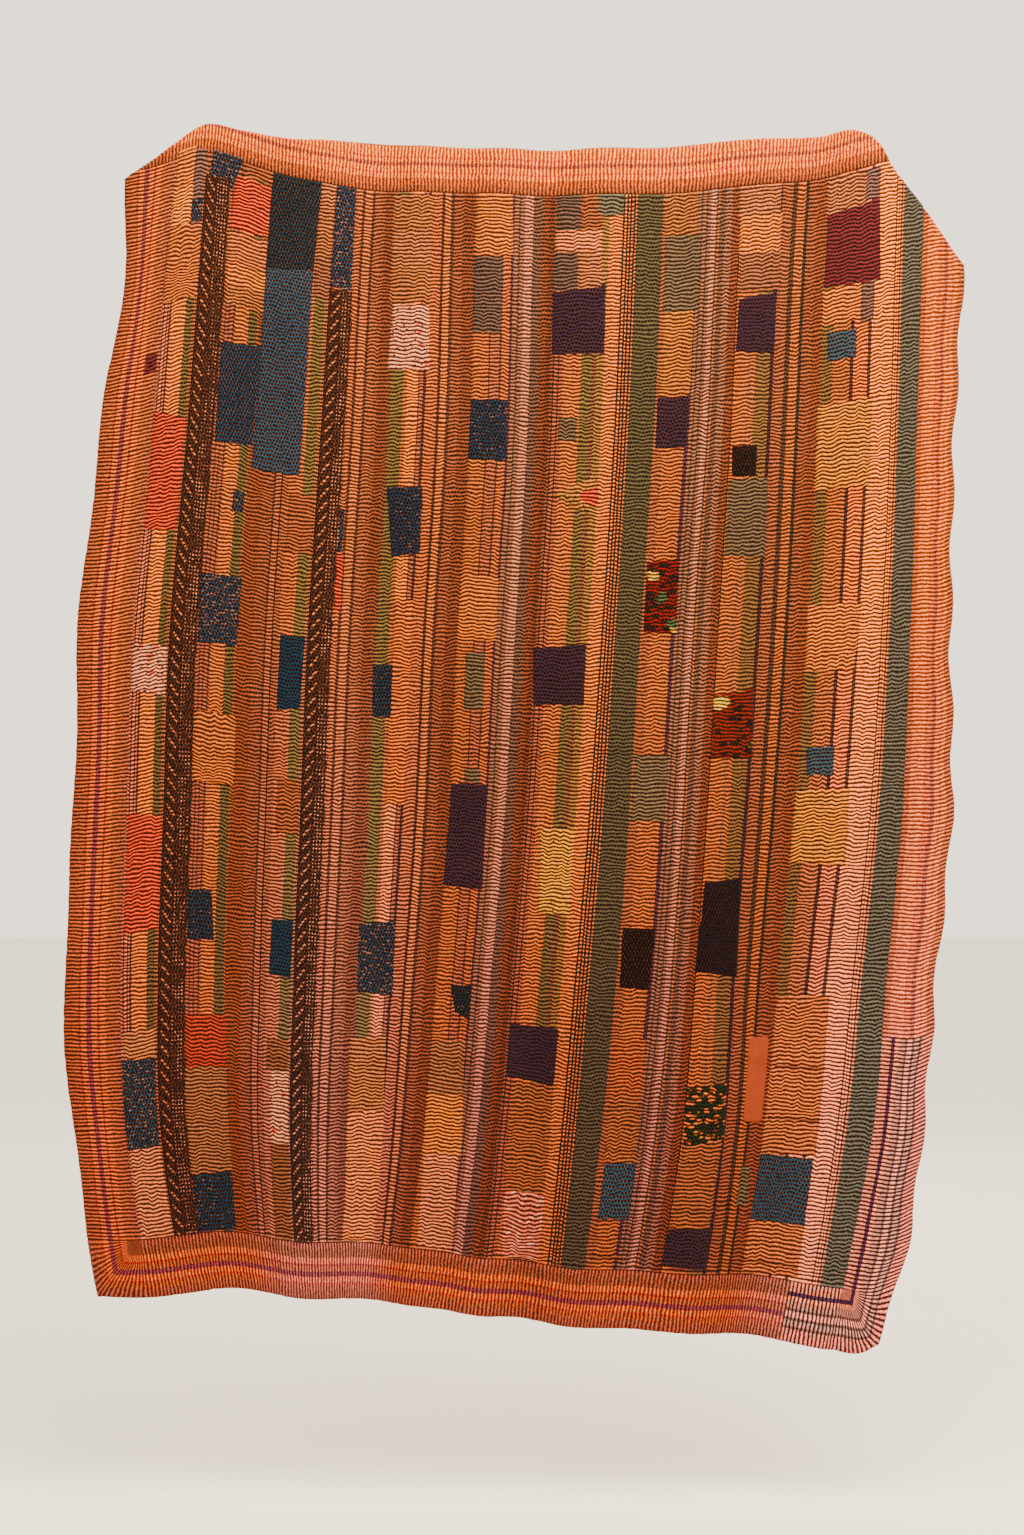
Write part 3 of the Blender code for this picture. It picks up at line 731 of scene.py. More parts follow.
def makeMesh(name, points, faces, backFaces, values, materials):
    mesh = bpy.data.meshes.new(name)
    mesh.from_pydata(points.tolist(), [], faces + backFaces)
    for key in ("row", "along", "inset"):
        layer = mesh.attributes.new(key, "FLOAT", "POINT")
        layer.data.foreach_set("value", values[key].astype(np.float32))
    corners = np.zeros(len(mesh.loops), np.int32)
    mesh.loops.foreach_get("vertex_index", corners)
    layer = mesh.uv_layers.new(name="cut")
    layer.data.foreach_set("uv", values["cut"][corners].astype(np.float32).ravel())
    slots = np.zeros(len(mesh.polygons), np.int32)
    slots[len(faces):] = 1
    mesh.polygons.foreach_set("material_index", slots)
    for material in materials:
        mesh.materials.append(material)
    mesh.shade_smooth()
    made = bpy.data.objects.new(name, mesh)
    bpy.context.scene.collection.objects.link(made)
    return made


def gridFaces(index):
    quads = np.stack([index[:-1, :-1], index[1:, :-1], index[1:, 1:], index[:-1, 1:]], axis=-1)
    return quads.reshape(-1, 4)


def facesFront(points, quads, facing):
    a, b, c = (points[quads[:, k]] for k in (0, 1, 2))
    turn = np.einsum("ij,ij->i", np.cross(b - a, c - a), facing[quads[:, 0]])
    return np.median(turn) > 0


def settled(mesh, distance=0.00005, recalculate=False):
    bm = bmesh.new()
    bm.from_mesh(mesh)
    bmesh.ops.remove_doubles(bm, verts=bm.verts, dist=distance)
    if recalculate:
        bmesh.ops.recalc_face_normals(bm, faces=bm.faces)
    bm.to_mesh(mesh)
    bm.free()


def closedSheet(name, u, v, phase, along, inset, backStep, materials):
    # a dense front, a coarser back and a rim between them
    index = np.arange(u.size).reshape(u.shape)
    stepA, stepB = backStep
    level = frontBase + quilt["ridge"] * puff(phase, u, v) - pressedEdge(u, v)
    flatU, flatV = u.ravel(), v.ravel()
    behind = index[::stepA, ::stepB]
    below = behind.ravel()
    front = hungPlace(flatU, flatV, level.ravel())
    rear = hungPlace(flatU[below], flatV[below], np.full(below.size, -quilt["cloth"] / 2))
    rearIndex = np.arange(behind.size).reshape(behind.shape) + u.size
    faces = gridFaces(index).tolist()
    backFaces = gridFaces(rearIndex)[:, ::-1].tolist()
    for frontLine, backLine, step in (
        (index[:, 0], rearIndex[:, 0], stepA), (index[:, -1], rearIndex[:, -1], stepA),
        (index[0, :], rearIndex[0, :], stepB), (index[-1, :], rearIndex[-1, :], stepB),
    ):
        for k in range(len(backLine) - 1):
            rim = frontLine[k * step:(k + 1) * step + 1].tolist()
            faces.append(rim + [int(backLine[k + 1]), int(backLine[k])])
    picked = np.concatenate([np.arange(u.size), below])
    values = {
        "row": phase.ravel()[picked], "along": along.ravel()[picked],
        "inset": inset.ravel()[picked], "cut": np.stack([flatU, flatV], axis=-1)[picked],
    }
    points = np.concatenate([front, rear])
    made = makeMesh(name, points, faces, backFaces, values, materials)
    settled(made.data, 0.00001, recalculate=True)
    return made


def fieldLine(number, u):
    # flat place of a grid line of the field
    v = np.broadcast_to(fieldTop + number * rowPitch / rowLines, u.shape).astype(float)
    return v + rowWander(u, v)


def makeGround(materials):
    made = {}
    numbers = np.arange(quilt["fieldRows"] * rowLines + 1)
    for name, length in groundLengths.items():
        pitches = (length["to"] - length["from"]) / quilt["columnPitch"]
        count = rowLines * max(1, round(pitches / rowLines))
        across = np.linspace(length["from"], length["to"], count + 1)
        u = np.repeat(across[:, None], len(numbers), axis=1)
        v = fieldLine(numbers[None, :], u)
        phase = np.broadcast_to(numbers / rowLines, u.shape)
        inset = np.full(u.shape, fieldInset)
        step = (rowLines, rowLines)
        made[name] = closedSheet(name, u, v, phase, u * 1000, inset, step, materials[name])
    return made


# Borders: parts of their width, how straight their lines run, and where the repair starts
borderLook = {
    "shares": 15,
    "topShares": 30,        # the top border is turned over, so its grid is finer
    "fanRows": 20,          # stitched rows round a corner
    "fanHole": 0.002,       # share of the way out where the lines of a fan start
    "steadyLines": 9.0,     # lines at each end that stray less
    "steadySeam": 0.2,      # share of the width beside the seam where they stray less
    "tight": 0.0019,        # m: lines nearer to each other than this stray less
    "waveStart": 0.7,       # share of the width where the wave of the outer edge starts
    "waveRun": 0.3,
    "repairDown": 1.352,
    "repairAcross": 1.205,
}


def borderStrip(name, inner, outer, shares, backStep, materials):
    # a border is laid out as a path of lines from its seam to its outer edge
    look = borderLook
    inner, outer = np.asarray(inner, float), np.asarray(outer, float)
    share = np.linspace(0, 1, shares + 1)[None, :]
    s = share[..., None]
    flat = inner[:, None, :] * (1 - s) + outer[:, None, :] * s
    forward = np.gradient(flat, axis=0)
    length = np.maximum(np.linalg.norm(forward, axis=-1, keepdims=True), 1e-9)
    number = np.arange(len(inner))
    ends = smoothStep(np.minimum(number, number[::-1]) / look["steadyLines"])[:, None]
    u, v = flat[..., 0], flat[..., 1]
    wander = ripple("borderSmall", u, v) + ripple("borderSlow", u, v)
    seamFade = smoothStep(share / look["steadySeam"])
    close = np.clip(length[..., 0] / look["tight"], 0.0, 1.0)
    flat = flat + forward / length * (wander * ends * seamFade * close)[..., None]
    # the outer edge waves in and out a little with the stitching
    wave = ripple("outerEdge", flat[:, -1, 0], flat[:, -1, 1])
    outward = (outer - inner) / np.linalg.norm(outer - inner, axis=-1, keepdims=True)
    reach = smoothStep((s - look["waveStart"]) / look["waveRun"])
    flat = flat - outward[:, None, :] * (np.abs(wave)[:, None, None] * reach) * ends[..., None]
    u, v = flat[..., 0], flat[..., 1]
    phase = np.repeat(number[:, None] / rowLines, shares + 1, axis=1)
    inset = np.repeat((1 - share) * quilt["border"] * 1000, len(inner), axis=0)
    return closedSheet(name, u, v, phase, inset, inset, backStep, materials)


def cornerFan(centre, start, corner, end):
    # lines that turn round a corner: they share the inner point and walk along the outer edges
    half = borderLook["fanRows"] * rowLines // 2
    outer = [np.add(start, np.subtract(corner, start) * k / half) for k in range(half)]
    outer += [np.add(corner, np.subtract(end, corner) * k / half) for k in range(half + 1)]
    hole = borderLook["fanHole"]
    inner = [np.array(centre, float) + (np.array(p) - centre) * hole for p in outer]
    return inner, outer


def bottomRun(start):
    # lines along the bottom border, from a corner of the field to the end of the repair
    end = borderLook["repairAcross"]
    count = rowLines * round(abs(end - start) / acrossPitch)
    at = start + (end - start) * np.arange(1, count + 1) / count
    return [(u, fieldLow) for u in at], [(u, quilt["cutLength"]) for u in at]


def path(u, v):
    return np.stack(np.broadcast_arrays(u, v), -1)


def makeBorders(cloths):
    width, length = quilt["cutWidth"], quilt["cutLength"]
    made = {}

    def sew(side, inner, outer, shares=borderLook["shares"], backStep=(rowLines, rowLines)):
        name = "border_" + side + "_cloth"
        made[name] = borderStrip(name, inner, outer, shares, backStep, cloths[side])

    across = np.arange(quilt["acrossRows"] * rowLines + 1) * acrossPitch / rowLines
    sew("top", path(across, fieldTop), path(across, 0.0), borderLook["topShares"], (rowLines, 2))
    downs = fieldTop + np.arange(quilt["fieldRows"] * rowLines + 1) * rowPitch / rowLines
    sew("left", path(fieldLeft, downs), path(0.0, downs))
    repairStart = rowLines * round((borderLook["repairDown"] - fieldTop) / rowPitch)
    upper, lower = downs[:repairStart + 1], downs[repairStart:-1]
    sew("right", path(fieldRight, upper), path(width, upper))
    # the bottom border starts with a fan round the left corner and ends at the repair
    inner, outer = cornerFan((fieldLeft, fieldLow), (0.0, fieldLow), (0.0, length), (fieldLeft, length))
    runInner, runOuter = bottomRun(fieldLeft)
    sew("bottom", inner + runInner, outer + runOuter)
    # the repair runs down the right edge, round the corner and to the left
    inner, outer = cornerFan(
        (fieldRight, fieldLow), (width, fieldLow), (width, length), (fieldRight, length))
    runInner, runOuter = bottomRun(fieldRight)
    inner = [(fieldRight, v) for v in lower] + inner + runInner
    outer = [(width, v) for v in lower] + outer + runOuter
    while (len(inner) - 1) % rowLines:
        del inner[1], outer[1]
    sew("repair", inner, outer)
    return made


# Pieces sewn on the field: how high they stand above the middle of the cloth, and their grid
sewnLook = {
    "crest": {"plain": 0.0022, "slub": 0.0030, "proud": 0.0029},
    "edge": 0.0004,
    "column": 0.0052,
    "spare": 0.008,            # m of rows worked out beyond a piece
    "arch": 0.007,             # height of the arches that some pieces are quilted in
    "archRun": 0.024,
    "arched": ("archTan", "pinkRed"),
    "hemDip": (0.0005, 0.0015),   # depth and width of the dip along the hem
    "bandColumns": 9,
    "bandEnd": 0.0005,         # m from the bands' lower end to the bottom border
}


def hemmed(u, v, phase, level, edge):
    # one more ring of points stands under the outline, so that the hem has a height
    shape = u.shape
    u, v, phase, level = (
        np.pad(np.broadcast_to(grid, shape), 1, mode="edge") for grid in (u, v, phase, level)
    )
    level[0, :] = level[-1, :] = edge
    level[:, 0] = level[:, -1] = edge
    return u, v, phase, level


def sewnPiece(corners, crest, columns=None, arch=0.0, scallop=False):
    # a grid over a four-cornered piece sewn on the field, with its edge turned under all round;
    # corners are u and v of top left, top right, low right and low left
    look = sewnLook
    topLeft, topRight, lowRight, lowLeft = (np.array(c, float) for c in corners)
    wide = max(topRight[0] - topLeft[0], lowRight[0] - lowLeft[0])
    columns = columns or max(3, round(wide / look["column"]))
    share = np.linspace(0, 1, columns + 1)[:, None]
    top = topLeft + (topRight - topLeft) * share
    low = lowLeft + (lowRight - lowLeft) * share
    top[:, 1] += ripple("hemTop", top[:, 0], top[:, 1])
    low[:, 1] += ripple("hemLow", low[:, 0], low[:, 1])
    topV, lowV = top[:, 1:], low[:, 1:]
    first = math.floor((topV.min() - arch - look["spare"] - fieldTop) / rowPitch) * rowLines
    last = math.ceil((lowV.max() + arch + look["spare"] - fieldTop) / rowPitch) * rowLines
    numbers = np.arange(first, last + 1)[None, :]
    straight = fieldTop + numbers * rowPitch / rowLines + 0 * share
    t = np.clip((straight - topV) / (lowV - topV), 0, 1)
    u = top[:, :1] + (low[:, :1] - top[:, :1]) * t
    bow = 1 - (2 * share - 1) ** 2
    bend = arch * bow * np.cos((straight - straight.mean()) / look["archRun"])
    line = straight + rowWander(u, straight) + bend
    v = np.clip(line, topV, lowV)
    phase = numbers / rowLines + (v - line) / rowPitch
    side = np.minimum(share, 1 - share) * wide + 0 * v
    u = u + np.where(side <= 0, ripple("hemSide", u, v), 0.0)
    if scallop:
        u = u + np.where(share >= 1, ripple("scallop", u, v), 0.0)
    away = np.minimum.reduce([side, v - topV, lowV - v])
    dip, dipWidth = look["hemDip"]
    level = crest - quilt["ridge"] * (1 - puff(phase, u, v)) - dip * np.exp(-away / dipWidth)
    return hemmed(u, v, phase, level, look["edge"])


def joinPieces(name, grids, material):
    points, faces, rows, cuts, start = [], [], [], [], 0
    for u, v, phase, level in grids:
        flatU, flatV = u.ravel(), v.ravel()
        placed = hungPlace(flatU, flatV, level.ravel())
        quads = gridFaces(np.arange(u.size).reshape(u.shape))
        if not facesFront(placed, quads, frontOf(flatU, flatV)):
            quads = quads[:, ::-1]
        points.append(placed)
        faces += (quads + start).tolist()
        rows.append(phase.ravel())
        cuts.append(np.stack([flatU, flatV], -1))
        start += u.size
    cut = np.concatenate(cuts)
    values = {
        "row": np.concatenate(rows), "along": cut[:, 0] * 1000,
        "inset": np.full(start, fieldInset), "cut": cut,
    }
    made = makeMesh(name, np.concatenate(points), faces, [], values, [material])
    settled(made.data)
    return made


# Patches, top to bottom in each column: the cloth, then u and v in mm of the flat quilt at
# top left, top right, low right and low left, or left, top, right and low of an upright one
patches = (
    # between the left border and the first band
    ("slateSpeckle", 154, 82, 206, 83, 189, 133, 147, 130), ("paleTan", 90, 76, 122, 135),
    ("darkGrey", 122, 82, 144, 158), ("creamTan", 88, 133, 124, 192),
    ("slateSpeckle", 121, 157, 142, 200), ("archTan", 88, 192, 142, 305),
    ("maroon", 66, 379, 86, 407), ("orangeRed", 88, 467, 140, 488, 140, 655, 89, 645),
    ("floral", 89, 814, 142, 831, 141, 903, 89, 887),
    ("orangeRed", 89, 1073, 142, 1084, 142, 1252, 91, 1255), ("plainTan", 90, 1401, 141, 1442),
    ("slateSpeckle", 88, 1442, 141, 1447, 140, 1577, 87, 1579),
    ("linedPink", 88, 1579, 141, 1577, 142, 1711, 90, 1711),
    # between the two bands
    ("rustTan", 207, 88, 255, 107), ("orangeRed", 196, 110, 254, 112, 252, 188, 188, 191),
    ("plainPeach", 188, 195, 252, 243), ("paleTan", 188, 244, 253, 274),
    ("greyTan", 188, 274, 252, 304), ("navy", 187, 364, 252, 355, 250, 507, 189, 516),
    ("nearBlack", 255, 88, 334, 88, 330, 223, 252, 234),
    ("slate", 252, 234, 330, 223, 328, 538, 251, 541),
    ("plainTan", 334, 88, 357, 88, 356, 133, 333, 133), ("greyTan", 332, 134, 356, 199),
    ("linedTan", 332, 200, 356, 264), ("slateSpeckle", 358, 88, 390, 88, 392, 246, 357, 244),
    ("slateSpeckle", 225, 581, 243, 612), ("rustTan", 314, 567, 355, 655),
    ("slateSpeckle", 186, 713, 249, 710, 247, 814, 187, 820),
    ("teal", 314, 785, 353, 783, 350, 893, 313, 900), ("archTan", 186, 921, 250, 1028),
    ("rustTan", 319, 1004, 354, 1087), ("deepSpeckle", 186, 1193, 222, 1190, 228, 1268, 187, 1267),
    ("teal", 318, 1221, 353, 1219, 352, 1307, 316, 1306),
    ("deepRed", 186, 1382, 249, 1379, 251, 1457, 186, 1463),
    ("linedTan", 186, 1463, 252, 1457, 254, 1619, 186, 1626), ("umberTan", 316, 1403, 352, 1452),
    ("floral", 322, 1455, 354, 1452, 354, 1563, 322, 1566),
    ("umberTan", 322, 1566, 353, 1564, 352, 1710, 321, 1710),
    ("deepSpeckle", 187, 1626, 254, 1619, 249, 1710, 186, 1711),
    # between the second band and the orange strip
    ("navy", 394, 584, 401, 649), ("orangeRed", 394, 650, 404, 739), ("greyTan", 452, 92, 519, 148),
    ("plainTan", 453, 148, 517, 204), ("greyTan", 453, 204, 518, 259),
    ("floral", 459, 262, 517, 263, 519, 362, 455, 363),
    ("deepSpeckle", 463, 545, 518, 544, 520, 646, 477, 652),
    ("orangePlain", 486, 718, 515, 717, 515, 1033, 485, 1034),
    ("deepSpeckle", 458, 818, 493, 818, 493, 899, 460, 899),
    ("slateSpeckle", 455, 1221, 514, 1213, 517, 1329, 458, 1326),
    ("plainTan", 451, 1398, 511, 1392, 515, 1507, 452, 1511),
    ("pinkTan", 452, 1511, 515, 1507, 517, 1643, 454, 1646),
    ("pinkTan", 454, 1646, 515, 1643, 517, 1710, 450, 1710),
    ("yellowOrange", 586, 88, 641, 88, 644, 181, 586, 184), ("greyBrown", 585, 185, 629, 244),
    ("greyBrown", 585, 244, 629, 302), ("deepSpeckle", 585, 405, 640, 404, 643, 498, 584, 498),
    ("yellowOrange", 585, 677, 643, 675, 645, 773, 585, 776), ("oliveGrey", 600, 794, 630, 882),
    ("oliveGrey", 607, 973, 632, 993), ("darkPurple", 586, 997, 643, 995, 647, 1155, 584, 1155),
    ("navySpeckle", 608, 1305, 642, 1303, 645, 1355, 619, 1346),
    ("linedTan", 584, 1394, 641, 1388, 644, 1471, 584, 1476),
    ("yellowOrange", 584, 1476, 644, 1472, 651, 1561, 587, 1567),
    ("linedPink", 588, 1568, 647, 1561, 657, 1710, 598, 1710),
    # between the orange strip and the checked lines
    ("greyBrown", 708, 88, 744, 141), ("rustTan", 744, 88, 777, 141),
    ("pinkTan", 708, 141, 777, 174), ("greyBrown", 705, 175, 742, 233),
    ("plainTan", 742, 174, 778, 232), ("oliveGreen", 763, 88, 807, 120),
    ("darkPurple", 706, 236, 784, 225, 786, 330, 707, 331), ("oliveGrey", 722, 427, 750, 462),
    ("beigeFleck", 719, 545, 785, 513, 784, 536, 753, 547),
    ("beigeFleck", 719, 545, 757, 542, 787, 572, 746, 564),
    ("orangeRed", 758, 536, 787, 529, 788, 563, 761, 559),
    ("darkPurple", 703, 779, 784, 772, 787, 863, 708, 866),
    ("yellowDots", 733, 1054, 786, 1052, 789, 1181, 740, 1182),
    ("darkPurple", 711, 1355, 789, 1355, 789, 1443, 710, 1434),
    ("rustTan", 720, 1440, 789, 1443, 791, 1605, 726, 1608),
    ("pinkRed", 727, 1610, 791, 1608, 793, 1710, 733, 1710),
    # between the dark olive stripe and the first purple line
    ("brownTan", 866, 88, 919, 152), ("oliveGrey", 871, 152, 924, 267),
    ("orangeTan", 872, 267, 918, 393), ("darkPurple", 869, 396, 917, 395, 917, 473, 870, 473),
    ("redFleck", 869, 645, 918, 641, 922, 754, 871, 751), ("oliveGrey", 869, 935, 921, 1036),
    ("darkBrown", 869, 1197, 917, 1198, 915, 1291, 872, 1288),
    ("orangeRedPlain", 872, 1367, 918, 1365, 920, 1450, 871, 1452),
    ("rustTan", 871, 1452, 920, 1450, 925, 1552, 877, 1554),
    ("slate", 877, 1554, 925, 1552, 927, 1636, 877, 1636),
    # between the two purple lines
    ("plainTan", 981, 88, 1047, 133), ("paleTan", 984, 133, 1051, 190),
    ("linedTan", 986, 190, 1053, 246), ("darkPurple", 988, 257, 1049, 251, 1050, 342, 987, 335),
    ("darkBrown", 988, 478, 1028, 476, 1030, 523, 991, 523),
    ("oliveGrey", 986, 527, 1050, 527, 1050, 646, 987, 640),
    ("redYellow", 984, 850, 1045, 838, 1051, 944, 985, 943),
    ("purpleBrown", 988, 1129, 1048, 1123, 1052, 1269, 983, 1262),
    ("flowerPrint", 984, 1435, 1045, 1427, 1048, 1511, 988, 1523),
    ("rustTan", 988, 1523, 1046, 1512, 1043, 1642, 986, 1645),
    ("darkPurple", 986, 1645, 1043, 1644, 1046, 1705, 983, 1702),
    # between the second purple line and the right border
    ("plainTan", 1124, 90, 1186, 146), ("darkGrey", 1186, 92, 1209, 137),
    ("maroon", 1126, 141, 1209, 139, 1213, 258, 1125, 252), ("paleTan", 1124, 256, 1183, 309),
    ("darkGrey", 1183, 257, 1204, 314), ("blue", 1134, 320, 1178, 323, 1178, 365, 1134, 363),
    ("orange", 1122, 426, 1205, 427, 1206, 557, 1123, 552),
    ("paleTan", 1122, 722, 1203, 726, 1198, 822, 1124, 820),
    ("blue", 1134, 932, 1176, 935, 1178, 976, 1138, 974),
    ("orange", 1124, 996, 1203, 997, 1208, 1109, 1124, 1101),
    ("plainPeach", 1125, 1301, 1207, 1297, 1214, 1529, 1122, 1533),
    ("slate", 1122, 1533, 1211, 1535, 1212, 1632, 1117, 1631),
    ("plainPeach", 1117, 1631, 1212, 1632, 1214, 1707, 1117, 1710),
    ("oliveGrey", 1085, 1554, 1106, 1611),
    # single dark rows woven into the plain pieces
    ("slubRow", 1132, 1401, 1212, 1405), ("slubRow", 1128, 1477, 1213, 1481),
    ("slubRow", 1117, 1689, 1212, 1693), ("slubRow", 873, 1469, 921, 1473),
    ("slubRow", 875, 1531, 922, 1535), ("slubRow", 874, 1690, 925, 1694),
    ("slubRow", 989, 1544, 1044, 1548), ("slubRow", 992, 1617, 1045, 1621),
)


def makePatches():
    grids = {}
    for cloth, *mm in patches:
        if len(mm) == 4:
            left, top, right, low = mm
            mm = left, top, right, top, right, low, left, low
        corners = np.array(mm, float).reshape(4, 2) / 1000
        arch = sewnLook["arch"] if cloth in sewnLook["arched"] else 0.0
        # the rows of the border are higher, so a piece that reaches over it is proud too
        proud = arch or corners[0][0] < fieldLeft
        kind = "proud" if proud else "slub" if cloth == "slubRow" else "plain"
        grids.setdefault(cloth, []).append(sewnPiece(corners, sewnLook["crest"][kind], arch=arch))
    return {
        "patches_" + cloth: joinPieces("patches_" + cloth, pieces, patchCotton(cloth))
        for cloth, pieces in grids.items()
    }


# The trim bands stand a little prouder, and their right edge is scalloped
bands = {
    "1": {"left": 0.142, "right": 0.186, "start": 0.120, "lean": -1.3},
    "2": {"left": 0.355, "right": 0.394, "start": 0.247, "lean": 1.3},
}


def makeBands():
    made = {}
    end = fieldLow - sewnLook["bandEnd"]
    for number, band in bands.items():
        name = "trim_band_" + number + "_cloth"
        left, right, start = band["left"], band["right"], band["start"]
        corners = ((left, start), (right, start), (right, end), (left, end))
        grid = sewnPiece(corners, sewnLook["crest"]["proud"], sewnLook["bandColumns"], scallop=True)
        tape = trimCotton("embroideredTape_" + number, left, band["lean"])
        made[name] = joinPieces(name, [grid], tape)
    return made


# The smooth patch: cut from unquilted cloth, with round corners, and hemmed on over the rows
smoothPatch = {
    "across": (1.080, 1.117), "down": (1.360, 1.486), "crest": 0.0030, "edge": 0.0006,
    "corner": 0.006, "columns": 16, "rows": 54, "dip": (0.0006, 0.002), "uneven": 0.0003,
}

# Plain-woven cotton dyed coral: flat and matt, with a faint weave
coralLook = {
    "dyes": ("#6A240B", "#782B0F"),
    "cloudy": (60.0, 3.0),
    "weave": (900.0, 1.0),
    "bump": (0.4, 0.0005),
    "shader": {"Roughness": 0.8, "Sheen Weight": 0.05, "Specular IOR Level": 0.08},
}


def plainCoralCotton():
    made, tree = newMaterial("plainWovenCoralCotton")
    cut = addCut(tree)
    cloudy = addNoise(tree, cut, *coralLook["cloudy"])
    weave = addNoise(tree, cut, *coralLook["weave"])
    colour = addMix(tree, cloudy, *(linear(dyed) for dyed in coralLook["dyes"]))
    dress(tree, colour, coralLook["shader"], weave, *coralLook["bump"])
    return made


def makeSmoothPatch():
    look = smoothPatch
    a = np.linspace(-1, 1, look["columns"] + 1)[:, None]
    d = np.linspace(-1, 1, look["rows"] + 1)[None, :]
    left, right = look["across"]
    top, low = look["down"]
    halfWide, halfHigh = (right - left) / 2, (low - top) / 2
    x, y = a * halfWide + 0 * d, d * halfHigh + 0 * a
    # pull the corners in to a quarter circle
    outX = np.maximum(np.abs(x) - (halfWide - look["corner"]), 0)
    outY = np.maximum(np.abs(y) - (halfHigh - look["corner"]), 0)
    far = np.hypot(outX, outY)
    pull = np.where(far > look["corner"], look["corner"] / np.maximum(far, 1e-9), 1.0)
    x = np.sign(x) * (np.abs(x) - outX + outX * pull)
    y = np.sign(y) * (np.abs(y) - outY + outY * pull)
    u, v = (left + right) / 2 + x, (top + low) / 2 + y
    away = np.minimum(halfWide - np.abs(x), halfHigh - np.abs(y))
    dip, dipWidth = look["dip"]
    uneven = look["uneven"] + ripple("smoothCloth", u, v)
    level = look["crest"] - dip * np.exp(-away / dipWidth) - uneven
    grid = hemmed(u, v, v * 0, level, look["edge"])
    return joinPieces("smooth_patch_cloth", [grid], plainCoralCotton())


# The photograph is upright, and its height covers this much at the quilt
view = {"covers": 2.3025, "sensor": 36.0, "distance": 4.2, "across": -0.024, "height": -0.926}


def makeCamera():
    data = bpy.data.cameras.new("camera")
    camera = bpy.data.objects.new("camera", data)
    bpy.context.scene.collection.objects.link(camera)
    data.sensor_width = view["sensor"]
    data.lens = view["sensor"] * view["distance"] / view["covers"]
    camera.location = (view["across"], -view["distance"], view["height"])
    camera.rotation_euler = (math.radians(90), 0.0, 0.0)
    bpy.context.scene.camera = camera


lighting = {
    # name: place, width, power in watts, colour
    "key": ((1.9, -2.4, 1.0), 2.0, 110.0, "#FFE9D2"),
    "top": ((0.35, -1.15, 0.95), 1.6, 135.0, "#FFEEDC"),
    "fill": ((-3.2, -3.6, 0.4), 3.0, 40.0, "#FFEBDA"),
    "back": ((0.6, 3.6, 0.6), 3.0, 90.0, "#FFF0E2"),
}
studio = {
    "aim": (0.0, 0.0, -0.9),
    "world": "#FBF0DC",
    "worldStrength": 2.4,
    "floorHalf": 14.0,
    "floorHeight": -2.03,
    "plaster": ("#E9E3D8", "#EFEAE0"),
    "plasterRoughness": 0.9,
}


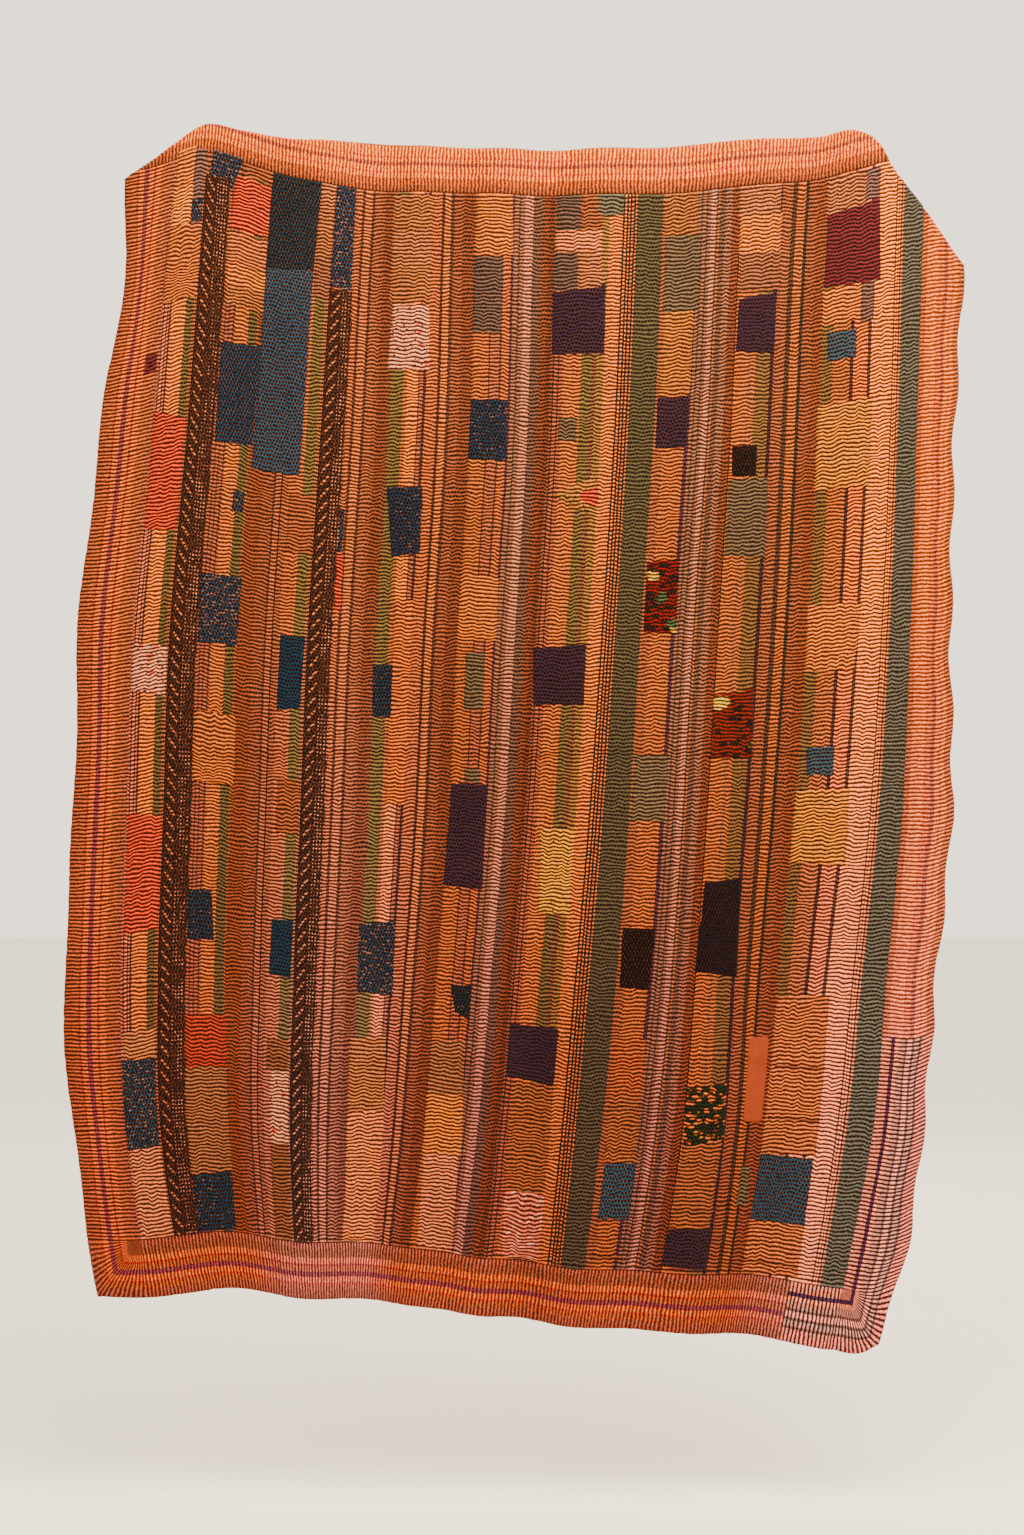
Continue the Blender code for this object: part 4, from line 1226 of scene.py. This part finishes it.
def makeStage():
    for name, (place, width, power, colour) in lighting.items():
        data = bpy.data.lights.new(name, "AREA")
        data.shape, data.size, data.energy = "SQUARE", width, power
        data.color = linear(colour)[:3]
        light = bpy.data.objects.new(name, data)
        light.location = place
        x, y, z = np.array(studio["aim"]) - place
        light.rotation_euler = (
            math.atan2(math.hypot(x, y), -z), 0.0, math.atan2(y, x) - math.pi / 2
        )
        bpy.context.scene.collection.objects.link(light)
    world = bpy.data.worlds.new("studio")
    world.use_nodes = True
    background = world.node_tree.nodes["Background"].inputs
    background["Color"].default_value = linear(studio["world"])
    background["Strength"].default_value = studio["worldStrength"]
    bpy.context.scene.world = world
    mesh = bpy.data.meshes.new("floor")
    half, height = studio["floorHalf"], studio["floorHeight"]
    corners = ((-half, -half), (half, -half), (half, half), (-half, half))
    mesh.from_pydata([(x, y, height) for x, y in corners], [], [(0, 1, 2, 3)])
    floor = bpy.data.objects.new("floor", mesh)
    bpy.context.scene.collection.objects.link(floor)
    # trowelled pale plaster: matt, with a very faint cloudiness
    plaster, tree = newMaterial("trowelledPalePlaster")
    speck = addNode(tree, "ShaderNodeTexNoise", {"Scale": 30.0, "Detail": 3.0})
    colour = addMix(tree, speck, *(linear(tone) for tone in studio["plaster"]))
    dress(tree, colour, {"Roughness": studio["plasterRoughness"]})
    floor.data.materials.append(plaster)


makeCamera()
makeStage()
print("camera, lights and floor are set")

backing = backingCotton()
# three borders have paler painted shade in their grooves, so they look flatter, and more broken grooves
borderGrooves = {
    "top": {"paintedGrooveShade": "#6E5240", "raggedness": 0.62},
    "right": {"paintedGrooveShade": "#554540", "raggedness": 0.42},
    "bottom": {"paintedGrooveShade": "#5E4A42", "raggedness": 0.52},
}
borderCloths, groundCloths = {}, {}
for side, stripes in borderStripes.items():
    name, worn = "yarnDyedBorderCotton_" + side, borderGrooves.get(side)
    borderCloths[side] = [stripedCotton(name, stripes, 0, 87, "inset", worn), backing]
for name, length in groundLengths.items():
    start, end = length["from"] * 1000, length["to"] * 1000
    cotton = stripedCotton("yarnDyedStriped_" + name, length["stripes"], start, end)
    groundCloths[name] = [cotton, backing]
print("cloths are dyed")

ground = makeGround(groundCloths)
print("ground is hung:", sum(len(o.data.polygons) for o in ground.values()), "faces")
borders = makeBorders(borderCloths)
print("borders are hung:", sum(len(o.data.polygons) for o in borders.values()), "faces")
sewnOn = {**makeBands(), **makePatches(), "smooth_patch_cloth": makeSmoothPatch()}
print("bands and patches are sewn on:", sum(len(o.data.polygons) for o in sewnOn.values()), "faces")

for piece in [*ground.values(), *borders.values(), *sewnOn.values()]:
    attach(piece, "root")

stands = {
    "border_top_cloth": ("border_top", "border_cloth", (1.370, 0.087)),
    "border_left_cloth": ("border_left", "border_cloth", (0.087, 1.626)),
    "border_right_cloth": ("border_right", "border_cloth", (0.087, 1.265)),
    "border_bottom_cloth": ("border_bottom", "border_cloth", (1.205, 0.087)),
    "border_repair_cloth": ("border_repair", "repair_cloth", (0.087, 0.526)),
}
for name, (node, slot, flat) in stands.items():
    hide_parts(node)
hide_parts("quilt_field")
for number in (1, 2):
    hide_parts(f"trim_band_{number}")
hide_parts("smooth_patch")
